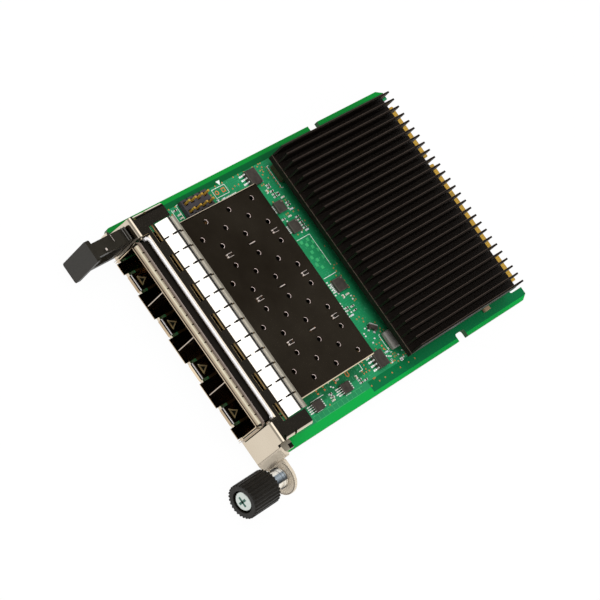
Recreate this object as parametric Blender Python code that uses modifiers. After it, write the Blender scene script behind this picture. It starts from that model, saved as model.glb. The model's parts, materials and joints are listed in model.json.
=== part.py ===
"""Four-port mezzanine network card, modelled piece by piece at its real size.

The origin is the middle of the board's underside. X runs across the card, Y runs from the
faceplate to the card edge, and Z points up through the component side. Every dimension
below is in millimetres; MM turns it into Blender's metres.
"""
import math

import bmesh
import bpy
from mathutils import Matrix, Vector

MM = 0.001
CLEAR = 0.3              # gap kept where two separate pieces seat on each other

# Port cage, a ganged sheet-steel box that stands on the board
PORTS = 4
PORT_PITCH = 14.25
CAGE_WALL = 0.25
CAGE_LENGTH = 48.7
CAGE_OVERHANG = 4.0      # how far the cage stands out past the board's front edge
CAGE_HEIGHT = 9.8        # top of the cage above the board
CAGE_CORNER = 0.6
PORTS_WIDTH = PORTS * PORT_PITCH
CAGE_WIDTH = PORTS_WIDTH + CAGE_WALL

# Circuit board
SIDE_STRIP = 9.5         # board on each side of the ports
BOARD_WIDTH = PORTS_WIDTH + 2 * SIDE_STRIP
BOARD_LENGTH = 117.0
BOARD_THICK = 1.57
BOARD_CORNER = 1.0       # radius of the two front corners
EAR_WIDTH = 3.6          # rear ears that run in the chassis guides
EAR_CHAMFER = (1.3, 2.4)
EDGE_RELIEF = 2.65       # slot between an ear and the card edge
EDGE_DEPTH = 5.2         # how far the card edge stands out past its relief slots
KEY_SLOTS = ((-12.0, 2.6), (20.85, 2.6))   # centre and width of the two key slots
GUIDE_NOTCH = (31.6, 4.2, 2.4)   # distance from the rear end, width, depth
BOARD_TOP = BOARD_THICK
BOARD_FRONT = -BOARD_LENGTH / 2
BOARD_REAR = BOARD_LENGTH / 2

# Where the cage stands, its vents, tabs and pins
CAGE_FRONT = BOARD_FRONT - CAGE_OVERHANG
CAGE_REAR = CAGE_FRONT + CAGE_LENGTH
CAGE_TOP = BOARD_TOP + CAGE_HEIGHT
CAGE_FLOOR = BOARD_TOP + CLEAR
VENT_RADIUS = 0.75
VENT_COLUMN = 3.95       # sideways step between a port's vent columns
VENT_ROW = 0.0951 * CAGE_LENGTH
VENT_FIRST = 0.4353 * CAGE_LENGTH        # first vent row behind the cage front
DIVIDER_TAB = (2.0, 0.35)        # tab of a divider through the top: length, height
LATCH_NOTCH = (6.5, 2.1)         # notch in the floor's front edge: width, depth
LATCH_TAB = (5.0, 7.4)   # spring tab in the notch: width, and how far back its slits run
LATCH_DROP = 1.2         # how far the tab's front is folded down
LATCH_HOLE = (3.24, 1.05, 2.5)   # three-cornered hole: width, distance behind the notch, length
PIN_SIZE = (0.5, 0.7)    # press-fit pin, across and along its wall
PIN_REACH = 0.8          # how far a pin shows below the board
PIN_ROWS = (0.205, 0.462, 0.708)         # behind the cage front, as shares of its length
PIN_HOLE_RADIUS = 0.75
PIN_LAND = 0.6           # how far the pins of the outer walls stand inside the wall line

# Spring collar round the cage's mouth
COLLAR_THICK = 0.12
COLLAR_LENGTH = 3.0
COLLAR_LEAD = 0.25       # how far it stands ahead of the cage front
COLLAR_BULGE = 0.42
COLLAR_SLOT = 0.35
COLLAR_FINGERS = 5       # spring fingers over each port

# Host connectors inside the ports
HOST_WIDTH = 11.6
HOST_DEPTH = 8.6
HOST_HEIGHT = 6.4
HOST_SETBACK = 0.7495 * CAGE_LENGTH      # front of the connector behind the cage front
HOST_SLOT = (8.4, 1.3, 5.6)      # card slot: width, height, depth
HOST_SLOT_LIFT = 3.3     # middle of the card slot above the connector's foot

# Faceplate bracket
SHEET = 0.8
FOLD_RELIEF = 0.7        # slit that parts two folds at a corner
BEND_RADIUS = 1.2        # outside radius of the bends
FACE_FRONT = BOARD_FRONT - CLEAR - SHEET
FACE_BOTTOM = -0.9
FLANGE_TOP = BOARD_TOP + 11.25
FLANGE_HALF = BOARD_WIDTH / 2 - 2.5
FLANGE_REAR = FACE_FRONT + 12.9          # rear edge of the flange's two end lands
FLANGE_STEP = FACE_FRONT + 6.4           # rear edge under the finger strip
FACE_HALF = FLANGE_HALF + 0.6
FACE_OPEN_GAP = 1.0      # clear width beside the cage
FACE_SILL = BOARD_TOP - 1.2              # lower edge of the cage opening
MOUTH_STEP = 2.1         # how far the flange's lip over the ports lies behind the face
LIP_START = 168.0        # angle in degrees at which the lip's bend starts
WINDOWS = 7
WINDOW_PITCH = PORTS_WIDTH / (WINDOWS - 1)
WINDOW_SIZE = (5.2, 1.4)
WINDOW_SETBACK = 5.2     # middle of the windows behind the face
WING_TOP = BOARD_TOP + 9.0
WING_ANGLE = math.radians(8.0)
WING_WIDTH = 2.2
EAR_RADIUS = 5.15
EAR_JOG = 1.5            # the ear's front lies this far behind the face
FOOT_SHELF = 4.2         # how far a foot reaches inwards over the board
FOOT_SOLE = BOARD_TOP + CLEAR
FOOT_SCREW_RADIUS = 0.8
FOOT_SCREW_HEAD = (1.45, 0.9)

# Finger strip that earths the flange to the chassis
FINGERS = 13
FINGER_PITCH = PORTS_WIDTH / (FINGERS - 1)
FINGER_THICK = 0.15
FINGER_SLOT = 0.42
FINGER_RISE = 1.1        # crown above the flange
FINGER_RUN = (4.0, 3.0, 1.9)     # flange to crown, crown to the fall's foot, foot to the end
FINGER_SLITS = (1.4, 2.5)        # end of the front slits, start of the rear ones
FINGER_BENDS = (2.6, 2.4)        # radii at the crown and at the foot of the fall

# Pull tab
TAB_X = 3.1 - FLANGE_HALF        # middle of the tab
TAB_PLATE = (6.3, 13.1, 1.4)     # grip plate: width, height, thickness
TAB_REACH = 15.1         # front of the grip plate ahead of the face
TAB_ARM_WIDTH = 4.1
TAB_ARM_THICK = 1.7
TAB_HEIGHT = 11.2        # over both arms
TAB_BASE = 2.4           # solid foot of the loop against the face
TAB_BOTTOM = BOARD_TOP - 2.0
TAB_CORNER = 1.2
RIVET_RADIUS = 0.9
RIVET_HEAD = (1.5, 0.6)
RIVET_PITCH = 4.4

# Captive thumbscrew
SCREW_X = BOARD_WIDTH / 2 + 4.3
SCREW_Z = BOARD_TOP + 0.6
KNOB_RADIUS = 4.85
KNOB_LENGTH = 11.0
KNOB_GAP = 4.1           # rear of the released knob ahead of the ear
KNOB_FLUTES = 28
KNOB_FLUTE_RADIUS = 0.32
KNOB_BORE = 3.45
KNOB_WEB = 3.6           # solid front of the knob
SCREW_HEAD = (2.75, 1.8)
SCREW_CROSS = (1.5, 0.56, 1.1)   # cross recess: arm, width, depth
SCREW_NECK = 1.05
SCREW_THREAD = 1.5
SCREW_TIP = 1.6          # how far the released screw shows behind the ear
FERRULE_RADIUS = 2.95
FERRULE_BORE = 1.8
FERRULE_LENGTH = 6.4     # ahead of the ear
FERRULE_NECK = 2.1
FERRULE_LIP = (3.3, 0.6)
FERRULE_STOP = 0.8       # front lip that holds the screw's thread captive
SPRING_WIRE = 0.2        # wire radius
SPRING_TURNS = 4

# Controller and heat sink
CHIP_SIZE = 25.0
CHIP_LID = 21.0
PAD_SIDE = 19.0          # thermal pad
CHIP_LAYERS = (1.1, 1.5, 0.4)    # substrate, lid, thermal pad
SINK_GAP = 14.7          # from the cage to the heat sink
SINK_MARGIN = 8.1        # from the heat sink's base to the card edge
FIN_SETBACK = 1.6        # the fins end this far before the base does
SINK_FRONT = CAGE_REAR + SINK_GAP
SINK_BASE_REAR = BOARD_REAR - SINK_MARGIN
SINK_REAR = SINK_BASE_REAR - FIN_SETBACK
CHIP_Y = (SINK_FRONT + SINK_BASE_REAR) / 2
SINK_BASE = 1.9
SINK_HEIGHT = 11.5       # fin tips above the board
FINS = 27
FIN_PITCH = 2.6
FIN_THICK = 0.55
POST_RADIUS = 2.4
POST_INSET = (5.2, 8.5)  # posts in from the base's sides and ends
SINK_SCREW_RADIUS = 1.1
SINK_SCREW_HEAD = (2.3, 1.2)

# Pin header
HEADER_ROWS = 4
HEADER_COLUMNS = 2
HEADER_PITCH = 2.54
HEADER_HEIGHT = 1.5
HEADER_X = 0.65 - (PORTS_WIDTH + SIDE_STRIP) / 2
HEADER_Y = CAGE_FRONT + 0.7074 * CAGE_LENGTH
PIN_WIDTH = 0.64
PIN_TOP = 4.1            # tip above the board
PIN_BELOW = 1.3

# Parts soldered beside and behind the cage
LANE = PORTS_WIDTH / 2 + 3.3     # middle of the chips in the right side strip
WIDE_CHIP = (4.9, 3.9, 1.5)      # eight-lead packages behind the cage: width, length, height
WIDE_PITCH = 1.27
SMALL_CHIP = (3.0, 3.4, 1.0)     # eight-lead packages in the right side strip
SMALL_PITCH = 0.65
SMALL_ROWS = (0.5955, 0.8419)    # behind the cage front, as shares of its length
TRANSISTOR = (2.9, 1.4, 1.0)
TRANSISTOR_PITCH = 1.9
TRANSISTOR_BEHIND = 13.4 # distance behind the cage
TRANSISTOR_TURN = 48.0   # degrees
CHOKES = ((5.6, 3.8, 2.4), (5.6, 5.6, 1.6))      # left and right: width, length, height
FLAT_HEIGHT = 0.85       # leadless packages
ROW_BEHIND = 10.9        # distance of the leadless packages behind the cage
CHOKE_FRONT = 14.5       # front of the right choke behind the cage
LEAD_REACH = 1.0
LEAD_THICK = 0.2
LEAD_SHARE = 0.36        # width of a lead as a share of the pitch


def material(name, colour, roughness, metallic):
    """A Principled material with one colour."""
    made = bpy.data.materials.new(name)
    made.use_nodes = True
    made.diffuse_color = (*colour, 1.0)
    shader = made.node_tree.nodes["Principled BSDF"]
    shader.inputs["Base Color"].default_value = (*colour, 1.0)
    shader.inputs["Roughness"].default_value = roughness
    shader.inputs["Metallic"].default_value = metallic
    return made


def clear_scene():
    """Remove every object so that the script can be run again."""
    for thing in list(bpy.data.objects):
        bpy.data.objects.remove(thing, do_unlink=True)


def collection(name):
    """A new collection in the scene."""
    made = bpy.data.collections.new(name)
    bpy.context.scene.collection.children.link(made)
    return made


clear_scene()
PARTS = collection("mezzanine_network_card")
CUTTERS = collection("cutters")
SOLDER_MASK = material("solder_mask", (0.0, 0.22, 0.06), 0.35, 0.0)
TIN_PLATE = material("tin_plate", (0.35, 0.31, 0.27), 0.25, 1.0)
NICKEL = material("nickel", (0.68, 0.60, 0.50), 0.3, 1.0)
SPRING_STEEL = material("spring_steel", (0.80, 0.78, 0.74), 0.2, 1.0)
STEEL = material("steel", (0.62, 0.66, 0.62), 0.25, 1.0)
BLACK_ANODISE = material("black_anodise", (0.02, 0.017, 0.014), 0.45, 0.4)
BLACK_PLASTIC = material("black_plastic", (0.025, 0.023, 0.02), 0.55, 0.0)
EPOXY = material("epoxy", (0.04, 0.035, 0.035), 0.5, 0.0)
GOLD = material("gold", (0.75, 0.52, 0.18), 0.25, 1.0)
SUBSTRATE = material("substrate", (0.03, 0.12, 0.06), 0.5, 0.0)
THERMAL_PAD = material("thermal_pad", (0.45, 0.45, 0.48), 0.8, 0.0)
CERAMIC = material("ceramic", (0.35, 0.25, 0.16), 0.6, 0.0)
FERRITE = material("ferrite", (0.30, 0.28, 0.26), 0.4, 0.6)


def add_object(name, mesh, finish=None):
    """Put a mesh in the scene as a named part."""
    made = bpy.data.objects.new(name, mesh)
    PARTS.objects.link(made)
    if finish is not None:
        mesh.materials.append(finish)
    return made


def as_cutter(tool):
    """Move an object among the hidden cutters."""
    for group in list(tool.users_collection):
        group.objects.unlink(tool)
    CUTTERS.objects.link(tool)
    tool.hide_render = True
    tool.hide_viewport = False
    tool.display_type = "WIRE"
    return tool


def mesh_object(name, build, finish=None):
    """Fill a bmesh with build(bm) and make an object of it."""
    bm = bmesh.new()
    build(bm)
    mesh = bpy.data.meshes.new(name)
    bm.to_mesh(mesh)
    bm.free()
    return add_object(name, mesh, finish)


def put_box(bm, low, high):
    """Add a box between two corners given in millimetres."""
    low = Vector(low) * MM
    high = Vector(high) * MM
    size = high - low
    place = Matrix.Translation((low + high) / 2) @ Matrix.Diagonal((*size, 1.0))
    bmesh.ops.create_cube(bm, size=1.0, matrix=place)


def put_cylinder(bm, centre, radius, length, axis="Z", sides=24):
    """Add a cylinder whose middle is centre, in millimetres, along one axis."""
    turn = {
        "X": Matrix.Rotation(math.pi / 2, 4, "Y"),
        "Y": Matrix.Rotation(-math.pi / 2, 4, "X"),
        "Z": Matrix.Identity(4),
    }[axis]
    place = Matrix.Translation(Vector(centre) * MM) @ turn
    bmesh.ops.create_cone(bm, cap_ends=True, segments=sides, radius1=radius * MM,
                          radius2=radius * MM, depth=length * MM, matrix=place)


def box(name, low, high, finish, bevel=0.0, segments=2):
    """A box with its scale applied, and its edges rounded if bevel is given."""
    made = mesh_object(name, lambda bm: put_box(bm, low, high), finish)
    if bevel:
        round_edges(made, bevel, segments)
    return made


def round_edges(part, width, segments=2, angle=40.0):
    """Round the sharp edges of a part."""
    bevel = part.modifiers.new("round", "BEVEL")
    bevel.width = width * MM
    bevel.segments = segments
    bevel.limit_method = "ANGLE"
    bevel.angle_limit = math.radians(angle)
    return bevel


def cylinders(name, places, radius, length, axis="Z", sides=24, finish=None):
    """One mesh of equal cylinders, used as a cutter or, for one place, as a part."""
    def build(bm):
        for centre in places:
            put_cylinder(bm, centre, radius, length, axis, sides)
    return mesh_object(name, build, finish)


def boxes(name, corners):
    """One mesh of separate boxes, used as a cutter."""
    def build(bm):
        for low, high in corners:
            put_box(bm, low, high)
    return mesh_object(name, build)


def boolean(part, tool, kind):
    """Cut a part with a tool, or join the tool to it."""
    step = part.modifiers.new(kind.lower(), "BOOLEAN")
    step.operation = kind
    step.solver = "EXACT"
    step.object = as_cutter(tool)
    return part


def cut(part, *tools):
    """Take each tool away from the part."""
    for tool in tools:
        boolean(part, tool, "DIFFERENCE")
    return part


def join(part, *tools):
    """Make each tool one solid with the part."""
    for tool in tools:
        boolean(part, tool, "UNION")
    return part


def prism(name, outline, axis, low, high, finish=None, holes=()):
    """Extrude a closed outline along an axis.

    The outline holds (y, z) pairs along X, (x, z) pairs along Y and (x, y) pairs along Z.
    """
    curve = bpy.data.curves.new(name, "CURVE")
    curve.dimensions = "2D"
    curve.fill_mode = "BOTH"
    curve.extrude = (high - low) / 2 * MM
    for ring in (outline, *holes):
        spline = curve.splines.new("POLY")
        spline.points.add(len(ring) - 1)
        spline.use_cyclic_u = True
        for point, (u, v) in zip(spline.points, ring):
            point.co = (v * MM, u * MM, 0.0, 1.0) if axis == "Y" else (u * MM, v * MM, 0.0, 1.0)
    middle = (high + low) / 2 * MM
    place = {
        "X": Matrix(((0, 0, 1, middle), (1, 0, 0, 0), (0, 1, 0, 0), (0, 0, 0, 1))),
        "Y": Matrix(((0, 1, 0, 0), (0, 0, 1, middle), (1, 0, 0, 0), (0, 0, 0, 1))),
        "Z": Matrix.Translation((0, 0, middle)),
    }[axis]
    drawn = bpy.data.objects.new(name + "_outline", curve)
    bpy.context.scene.collection.objects.link(drawn)
    bpy.context.view_layer.update()
    depsgraph = bpy.context.evaluated_depsgraph_get()
    mesh = bpy.data.meshes.new_from_object(drawn.evaluated_get(depsgraph))
    bpy.data.objects.remove(drawn, do_unlink=True)
    mesh.name = name
    mesh.transform(place)
    bm = bmesh.new()
    bm.from_mesh(mesh)
    bmesh.ops.remove_doubles(bm, verts=bm.verts, dist=1e-6)
    bmesh.ops.recalc_face_normals(bm, faces=bm.faces)
    bm.to_mesh(mesh)
    bm.free()
    mesh.materials.clear()
    return add_object(name, mesh, finish)


def arc(centre, radius, start, end, steps):
    """Points of an arc from one angle to another, in degrees."""
    return [(centre[0] + radius * math.cos(math.radians(start + (end - start) * n / steps)),
             centre[1] + radius * math.sin(math.radians(start + (end - start) * n / steps)))
            for n in range(steps + 1)]


def circle(centre, radius, sides):
    """Points of a full circle."""
    return arc(centre, radius, 0.0, 360.0, sides)[:-1]


def filleted(points, radii, steps=4):
    """An open or closed path of corners, each rounded by its own radius."""
    made = []
    for here, corner, radius in zip(range(len(points)), points, radii):
        if not radius:
            made.append(corner)
            continue
        before = Vector(points[here - 1]) - Vector(corner)
        after = Vector(points[(here + 1) % len(points)]) - Vector(corner)
        before.normalize()
        after.normalize()
        half = before.angle(after) / 2
        centre = Vector(corner) + (before + after).normalized() * radius / math.sin(half)
        first = Vector(corner) + before * radius / math.tan(half) - centre
        last = Vector(corner) + after * radius / math.tan(half) - centre
        turn = first.angle_signed(last)
        for n in range(steps + 1):
            spoke = first.copy()
            spoke.rotate(Matrix.Rotation(-turn * n / steps, 2))
            made.append(tuple(centre + spoke))
    return made


def ribbon(path, thickness):
    """The closed outline of a bent sheet whose outer side follows an open path.

    The sheet's thickness lies to the right of the path as it is walked.
    """
    inner = []
    for n, point in enumerate(path):
        ahead = Vector(path[min(n + 1, len(path) - 1)]) - Vector(point)
        behind = Vector(point) - Vector(path[max(n - 1, 0)])
        normals = [Vector((d.y, -d.x)).normalized() for d in (behind, ahead) if d.length > 1e-9]
        side = sum(normals, Vector((0.0, 0.0))).normalized()
        stretch = 1.0 / max(side.dot(normals[0]), 0.3)
        inner.append(tuple(Vector(point) + side * thickness * stretch))
    return list(path) + inner[::-1]


def turned(name, profile, centre_x, centre_z, finish, steps=32):
    """Turn a profile about an axis along Y.

    The profile is a closed ring of (radius, y) points, in millimetres, that runs from the
    rear to the front on its outer side.
    """
    bm = bmesh.new()
    ring = [bm.verts.new((radius * MM, 0.0, -y * MM)) for radius, y in reversed(profile)]
    for here, there in zip(ring, ring[1:]):
        bm.edges.new((here, there))
    if profile[0][0] > 0.0:
        bm.edges.new((ring[-1], ring[0]))
    mesh = bpy.data.meshes.new(name)
    bm.to_mesh(mesh)
    bm.free()
    made = add_object(name, mesh, finish)
    centre = Matrix.Translation((centre_x * MM, 0.0, centre_z * MM))
    made.matrix_world = centre @ Matrix.Rotation(math.pi / 2, 4, "X")
    spin = made.modifiers.new("turn", "SCREW")
    spin.axis = "Z"
    spin.steps = steps
    spin.render_steps = steps
    spin.use_merge_vertices = True
    spin.merge_threshold = 1e-6
    return made


def port_centre(port):
    """Middle of a port across the card."""
    return (port - (PORTS - 1) / 2) * PORT_PITCH


def wall_line(line):
    """Middle of the wall before a port; lines 0 and PORTS are the outer walls."""
    return (line - PORTS / 2) * PORT_PITCH


def pin_spots(line):
    """Where the press-fit pins of one cage wall meet the board."""
    inwards = {0: PIN_LAND, PORTS: -PIN_LAND}.get(line, 0.0)
    return [(wall_line(line) + inwards, CAGE_FRONT + share * CAGE_LENGTH) for share in PIN_ROWS]


def tab_spots(line):
    """Where the tabs of one divider come up through the top of the cage."""
    return [(wall_line(line), CAGE_FRONT + VENT_FIRST + VENT_ROW * row) for row in (1, 3, 5)]


def post_spots():
    """Where the heat sink's posts stand on the board."""
    across = FIN_PITCH * (FINS - 1) / 2 - POST_INSET[0]
    ends = (SINK_FRONT + POST_INSET[1], SINK_BASE_REAR - POST_INSET[1])
    return [(side * across, y) for y in ends for side in (-1, 1)]


def foot_spots():
    """Where the bracket's two feet are screwed to the board."""
    across = FLANGE_HALF - 0.6 * FOOT_SHELF
    middle = (FACE_FRONT + 2 * BEND_RADIUS + FLANGE_STEP) / 2
    return [(side * across, middle) for side in (-1, 1)]


def header_spots():
    """Where the header's pins pass through the board."""
    return [(HEADER_X + (i - (HEADER_COLUMNS - 1) / 2) * HEADER_PITCH,
             HEADER_Y + (j - (HEADER_ROWS - 1) / 2) * HEADER_PITCH)
            for i in range(HEADER_COLUMNS) for j in range(HEADER_ROWS)]


def build_board():
    """The board, with its card edge, key slots, ears, guide notches and drilled holes."""
    half = BOARD_WIDTH / 2
    relief = half - EAR_WIDTH
    edge = relief - EDGE_RELIEF
    shoulder = BOARD_REAR - EDGE_DEPTH
    notch_y = BOARD_REAR - GUIDE_NOTCH[0]
    notch_low = notch_y - GUIDE_NOTCH[1] / 2
    notch_high = notch_y + GUIDE_NOTCH[1] / 2
    notch_x = half - GUIDE_NOTCH[2]
    points = [(-half, BOARD_FRONT), (half, BOARD_FRONT)]
    radii = [BOARD_CORNER, BOARD_CORNER]
    for side in (1, -1):
        notch = [(side * half, notch_low), (side * notch_x, notch_low),
                 (side * notch_x, notch_high), (side * half, notch_high)]
        ear = [(side * half, BOARD_REAR - EAR_CHAMFER[1]), (side * (half - EAR_CHAMFER[0]), BOARD_REAR),
               (side * relief, BOARD_REAR), (side * relief, shoulder),
               (side * edge, shoulder), (side * edge, BOARD_REAR)]
        walk = notch + ear
        rounds = [0, 0.7, 0.7, 0, 0, 0, 0, 0.6, 0.6, 0.4]
        if side < 0:
            walk.reverse()
            rounds.reverse()
            for centre, width in reversed(KEY_SLOTS):
                points += [(centre + width / 2, BOARD_REAR), (centre + width / 2, shoulder),
                           (centre - width / 2, shoulder), (centre - width / 2, BOARD_REAR)]
                radii += [0.3, 0.5, 0.5, 0.3]
        points += walk
        radii += rounds
    holes = [circle(spot, PIN_HOLE_RADIUS, 10) for line in range(PORTS + 1) for spot in pin_spots(line)]
    holes += [circle(spot, SINK_SCREW_RADIUS + CLEAR, 14) for spot in post_spots()]
    holes += [circle(spot, FOOT_SCREW_RADIUS + CLEAR, 14) for spot in foot_spots()]
    holes += [circle(spot, PIN_WIDTH / math.sqrt(2) + CLEAR, 10) for spot in header_spots()]
    prism("circuit_board", filleted(points, radii, 3), "Z", 0.0, BOARD_THICK, SOLDER_MASK, holes)


def build_cage_shell():
    """The folded top, sides and rear of the cage, with vents, divider slots and pins."""
    half = CAGE_WIDTH / 2
    path = filleted([(half, CAGE_FLOOR), (half, CAGE_TOP), (-half, CAGE_TOP), (-half, CAGE_FLOOR)],
                    [0, CAGE_CORNER, CAGE_CORNER, 0], 3)
    shell = prism("cage_shell", ribbon(path[::-1], CAGE_WALL), "Y", CAGE_FRONT, CAGE_REAR, TIN_PLATE)
    lap = CAGE_WALL / 2
    rear = box("cage_rear", (-half + lap, CAGE_REAR - CAGE_WALL, CAGE_FLOOR),
               (half - lap, CAGE_REAR, CAGE_TOP - lap), None)
    join(shell, rear)
    vents = []
    for port in range(PORTS):
        for column in (-1, 0, 1):
            for row in range(3):
                y = CAGE_FRONT + VENT_FIRST + VENT_ROW * (2 * row + (1 if column else 0))
                vents.append((port_centre(port) + column * VENT_COLUMN, y, CAGE_TOP))
    cut(shell, cylinders("vent_cutter", vents, VENT_RADIUS, 4 * CAGE_WALL, sides=10))
    wide = CAGE_WALL / 2 + CLEAR
    long = DIVIDER_TAB[0] / 2 + CLEAR
    slots = [((x - wide, y - long, CAGE_TOP - 1.0), (x + wide, y + long, CAGE_TOP + 1.0))
             for line in range(1, PORTS) for x, y in tab_spots(line)]
    cut(shell, boxes("tab_slots", slots))
    pins = []
    for line in (0, PORTS):
        inwards = 1 if line == 0 else -1
        for x, y in pin_spots(line):
            wall = wall_line(line)
            far = x + inwards * PIN_SIZE[0] / 2
            pins.append(((min(wall, far), y - PIN_SIZE[1], CAGE_FLOOR),
                         (max(wall, far), y + PIN_SIZE[1], CAGE_FLOOR + 0.6)))
            pins.append(((x - PIN_SIZE[0] / 2, y - PIN_SIZE[1] / 2, -PIN_REACH),
                         (x + PIN_SIZE[0] / 2, y + PIN_SIZE[1] / 2, CAGE_FLOOR + 0.3)))
    for n, (low, high) in enumerate(pins):
        join(shell, box(f"cage_pin_{n}", low, high, None))


def build_cage_floor():
    """The cage's floor, with a folded latch tab in a notch at the front of each port."""
    half = CAGE_WIDTH / 2 - CAGE_WALL - CLEAR
    top = CAGE_FLOOR + CAGE_WALL
    below, above = CAGE_FLOOR - 1.0, top + 1.0
    rear = CAGE_REAR - CAGE_WALL - CLEAR
    floor = box("cage_floor", (-half, CAGE_FRONT, CAGE_FLOOR), (half, rear, top), TIN_PLATE)
    openings = []
    for port in range(PORTS):
        x = port_centre(port)
        reach = HOST_WIDTH / 2 + CLEAR
        host_front = CAGE_FRONT + HOST_SETBACK
        openings.append(((x - reach, host_front - CLEAR, below), (x + reach, rear - 1.0, above)))
    for line in range(PORTS + 1):
        for x, y in pin_spots(line):
            reach = PIN_SIZE[0] / 2 + CLEAR
            along = PIN_SIZE[1] + CLEAR
            low = -half - 1.0 if line == 0 else x - reach
            high = half + 1.0 if line == PORTS else x + reach
            openings.append(((low, y - along, below), (high, y + along, above)))
    cut(floor, boxes("floor_openings", openings))
    notch_x, notch_y = LATCH_NOTCH[0] / 2, CAGE_FRONT + LATCH_NOTCH[1]
    tab_x, slit_end = LATCH_TAB[0] / 2, CAGE_FRONT + LATCH_TAB[1]
    hole = notch_y + LATCH_HOLE[1]
    for port in range(PORTS):
        x = port_centre(port)
        notch = [(x - notch_x, CAGE_FRONT - 1.0), (x + notch_x, CAGE_FRONT - 1.0), (x + notch_x, slit_end),
                 (x + tab_x, slit_end), (x + tab_x, notch_y), (x - tab_x, notch_y),
                 (x - tab_x, slit_end), (x - notch_x, slit_end)]
        mouth = [(x - LATCH_HOLE[0] / 2, hole), (x + LATCH_HOLE[0] / 2, hole), (x, hole + LATCH_HOLE[2])]
        cut(floor, prism(f"latch_notch_{port}", notch, "Z", below, above),
            prism(f"latch_hole_{port}", mouth, "Z", below, above))
        sheet = CAGE_WALL - 0.04
        crest = top - 0.02
        fold = [(notch_y - 0.6, CAGE_FLOOR - LATCH_DROP), (notch_y - 0.1, crest), (notch_y + 0.5, crest)]
        reach = tab_x - 0.03
        join(floor, prism(f"latch_fold_{port}", ribbon(fold, sheet), "X", x - reach, x + reach))


def build_dividers():
    """The three walls between the ports, pinned through the board."""
    low = CAGE_FLOOR + CAGE_WALL + CLEAR
    high = CAGE_TOP - CAGE_WALL - CLEAR
    for line in range(1, PORTS):
        x = wall_line(line)
        wall = box(f"cage_divider_{line}", (x - CAGE_WALL / 2, CAGE_FRONT + CLEAR, low),
                   (x + CAGE_WALL / 2, CAGE_REAR - CAGE_WALL - CLEAR, high), TIN_PLATE)
        for n, (_, y) in enumerate(pin_spots(line)):
            join(wall, box(f"divider_pin_{line}_{n}", (x - PIN_SIZE[0] / 2, y - PIN_SIZE[1] / 2, -PIN_REACH),
                           (x + PIN_SIZE[0] / 2, y + PIN_SIZE[1] / 2, low + 0.4), None))
        thin = CAGE_WALL / 2 - 0.01
        for n, (_, y) in enumerate(tab_spots(line)):
            join(wall, box(f"divider_tab_{line}_{n}", (x - thin, y - DIVIDER_TAB[0] / 2, high - 0.4),
                           (x + thin, y + DIVIDER_TAB[0] / 2, CAGE_TOP + DIVIDER_TAB[1]), None))


def build_collar():
    """The spring collar over the cage's mouth: sprung fingers on its top and both sides."""
    start = CAGE_FRONT - COLLAR_LEAD
    base = CLEAR
    crown = base + COLLAR_BULGE
    profile = [(0.0, base), (0.27, base + 0.02), (0.5, crown), (0.6, crown),
               (0.78, crown - 0.12), (1.0, base + 0.1)]
    half = CAGE_WIDTH / 2

    def bridge_at(y, lift):
        corner = CAGE_CORNER + lift
        reach, top = half + lift, CAGE_TOP + lift
        corners = [(reach, CAGE_FLOOR), (reach, top), (-reach, top), (-reach, CAGE_FLOOR)]
        return [(x, y, z) for x, z in filleted(corners, [0, corner, corner, 0], 3)]

    bm = bmesh.new()
    grid(bm, [bridge_at(start + share * COLLAR_LENGTH, lift) for share, lift in profile])
    bmesh.ops.recalc_face_normals(bm, faces=bm.faces)
    mesh = bpy.data.meshes.new("cage_collar")
    bm.to_mesh(mesh)
    bm.free()
    collar = add_object("cage_collar", mesh, SPRING_STEEL)
    wall = collar.modifiers.new("wall", "SOLIDIFY")
    wall.thickness = COLLAR_THICK * MM
    wall.offset = 1.0
    wall.use_even_offset = True
    step = PORT_PITCH / COLLAR_FINGERS
    first, last = start + 0.45 * COLLAR_LENGTH, start + 0.72 * COLLAR_LENGTH
    above = CAGE_TOP + 2 * crown
    slots = []
    for n in range(1, PORTS * COLLAR_FINGERS):
        x = n * step - PORTS_WIDTH / 2
        slots.append(((x - COLLAR_SLOT / 2, first, CAGE_TOP), (x + COLLAR_SLOT / 2, last, above)))
    cut(collar, boxes("collar_slots", slots))


def build_host_connectors():
    """The edge-card sockets at the rear of the ports, with their contacts' slot."""
    foot = BOARD_TOP + CLEAR
    front = CAGE_FRONT + HOST_SETBACK
    for port in range(PORTS):
        x = port_centre(port)
        body = box(f"host_connector_{port + 1}", (x - HOST_WIDTH / 2, front, foot),
                   (x + HOST_WIDTH / 2, front + HOST_DEPTH, foot + HOST_HEIGHT), BLACK_PLASTIC)
        slot_z = foot + HOST_SLOT_LIFT
        slot = [((x - HOST_SLOT[0] / 2, front - 1.0, slot_z - HOST_SLOT[1] / 2),
                 (x + HOST_SLOT[0] / 2, front + HOST_SLOT[2], slot_z + HOST_SLOT[1] / 2))]
        ramp = [((x - HOST_WIDTH / 2 - 1.0, front - 1.0, foot + HOST_HEIGHT - 0.9),
                 (x + HOST_WIDTH / 2 + 1.0, front + 1.6, foot + HOST_HEIGHT + 1.0))]
        cut(body, boxes(f"host_cut_{port}", slot + ramp))


def grid(bm, rows):
    """Add a patch of faces between rows of points given in millimetres."""
    lines = [[bm.verts.new(Vector(point) * MM) for point in row] for row in rows]
    for here, there in zip(lines, lines[1:]):
        for n in range(len(here) - 1):
            bm.faces.new((here[n], here[n + 1], there[n + 1], there[n]))


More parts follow.
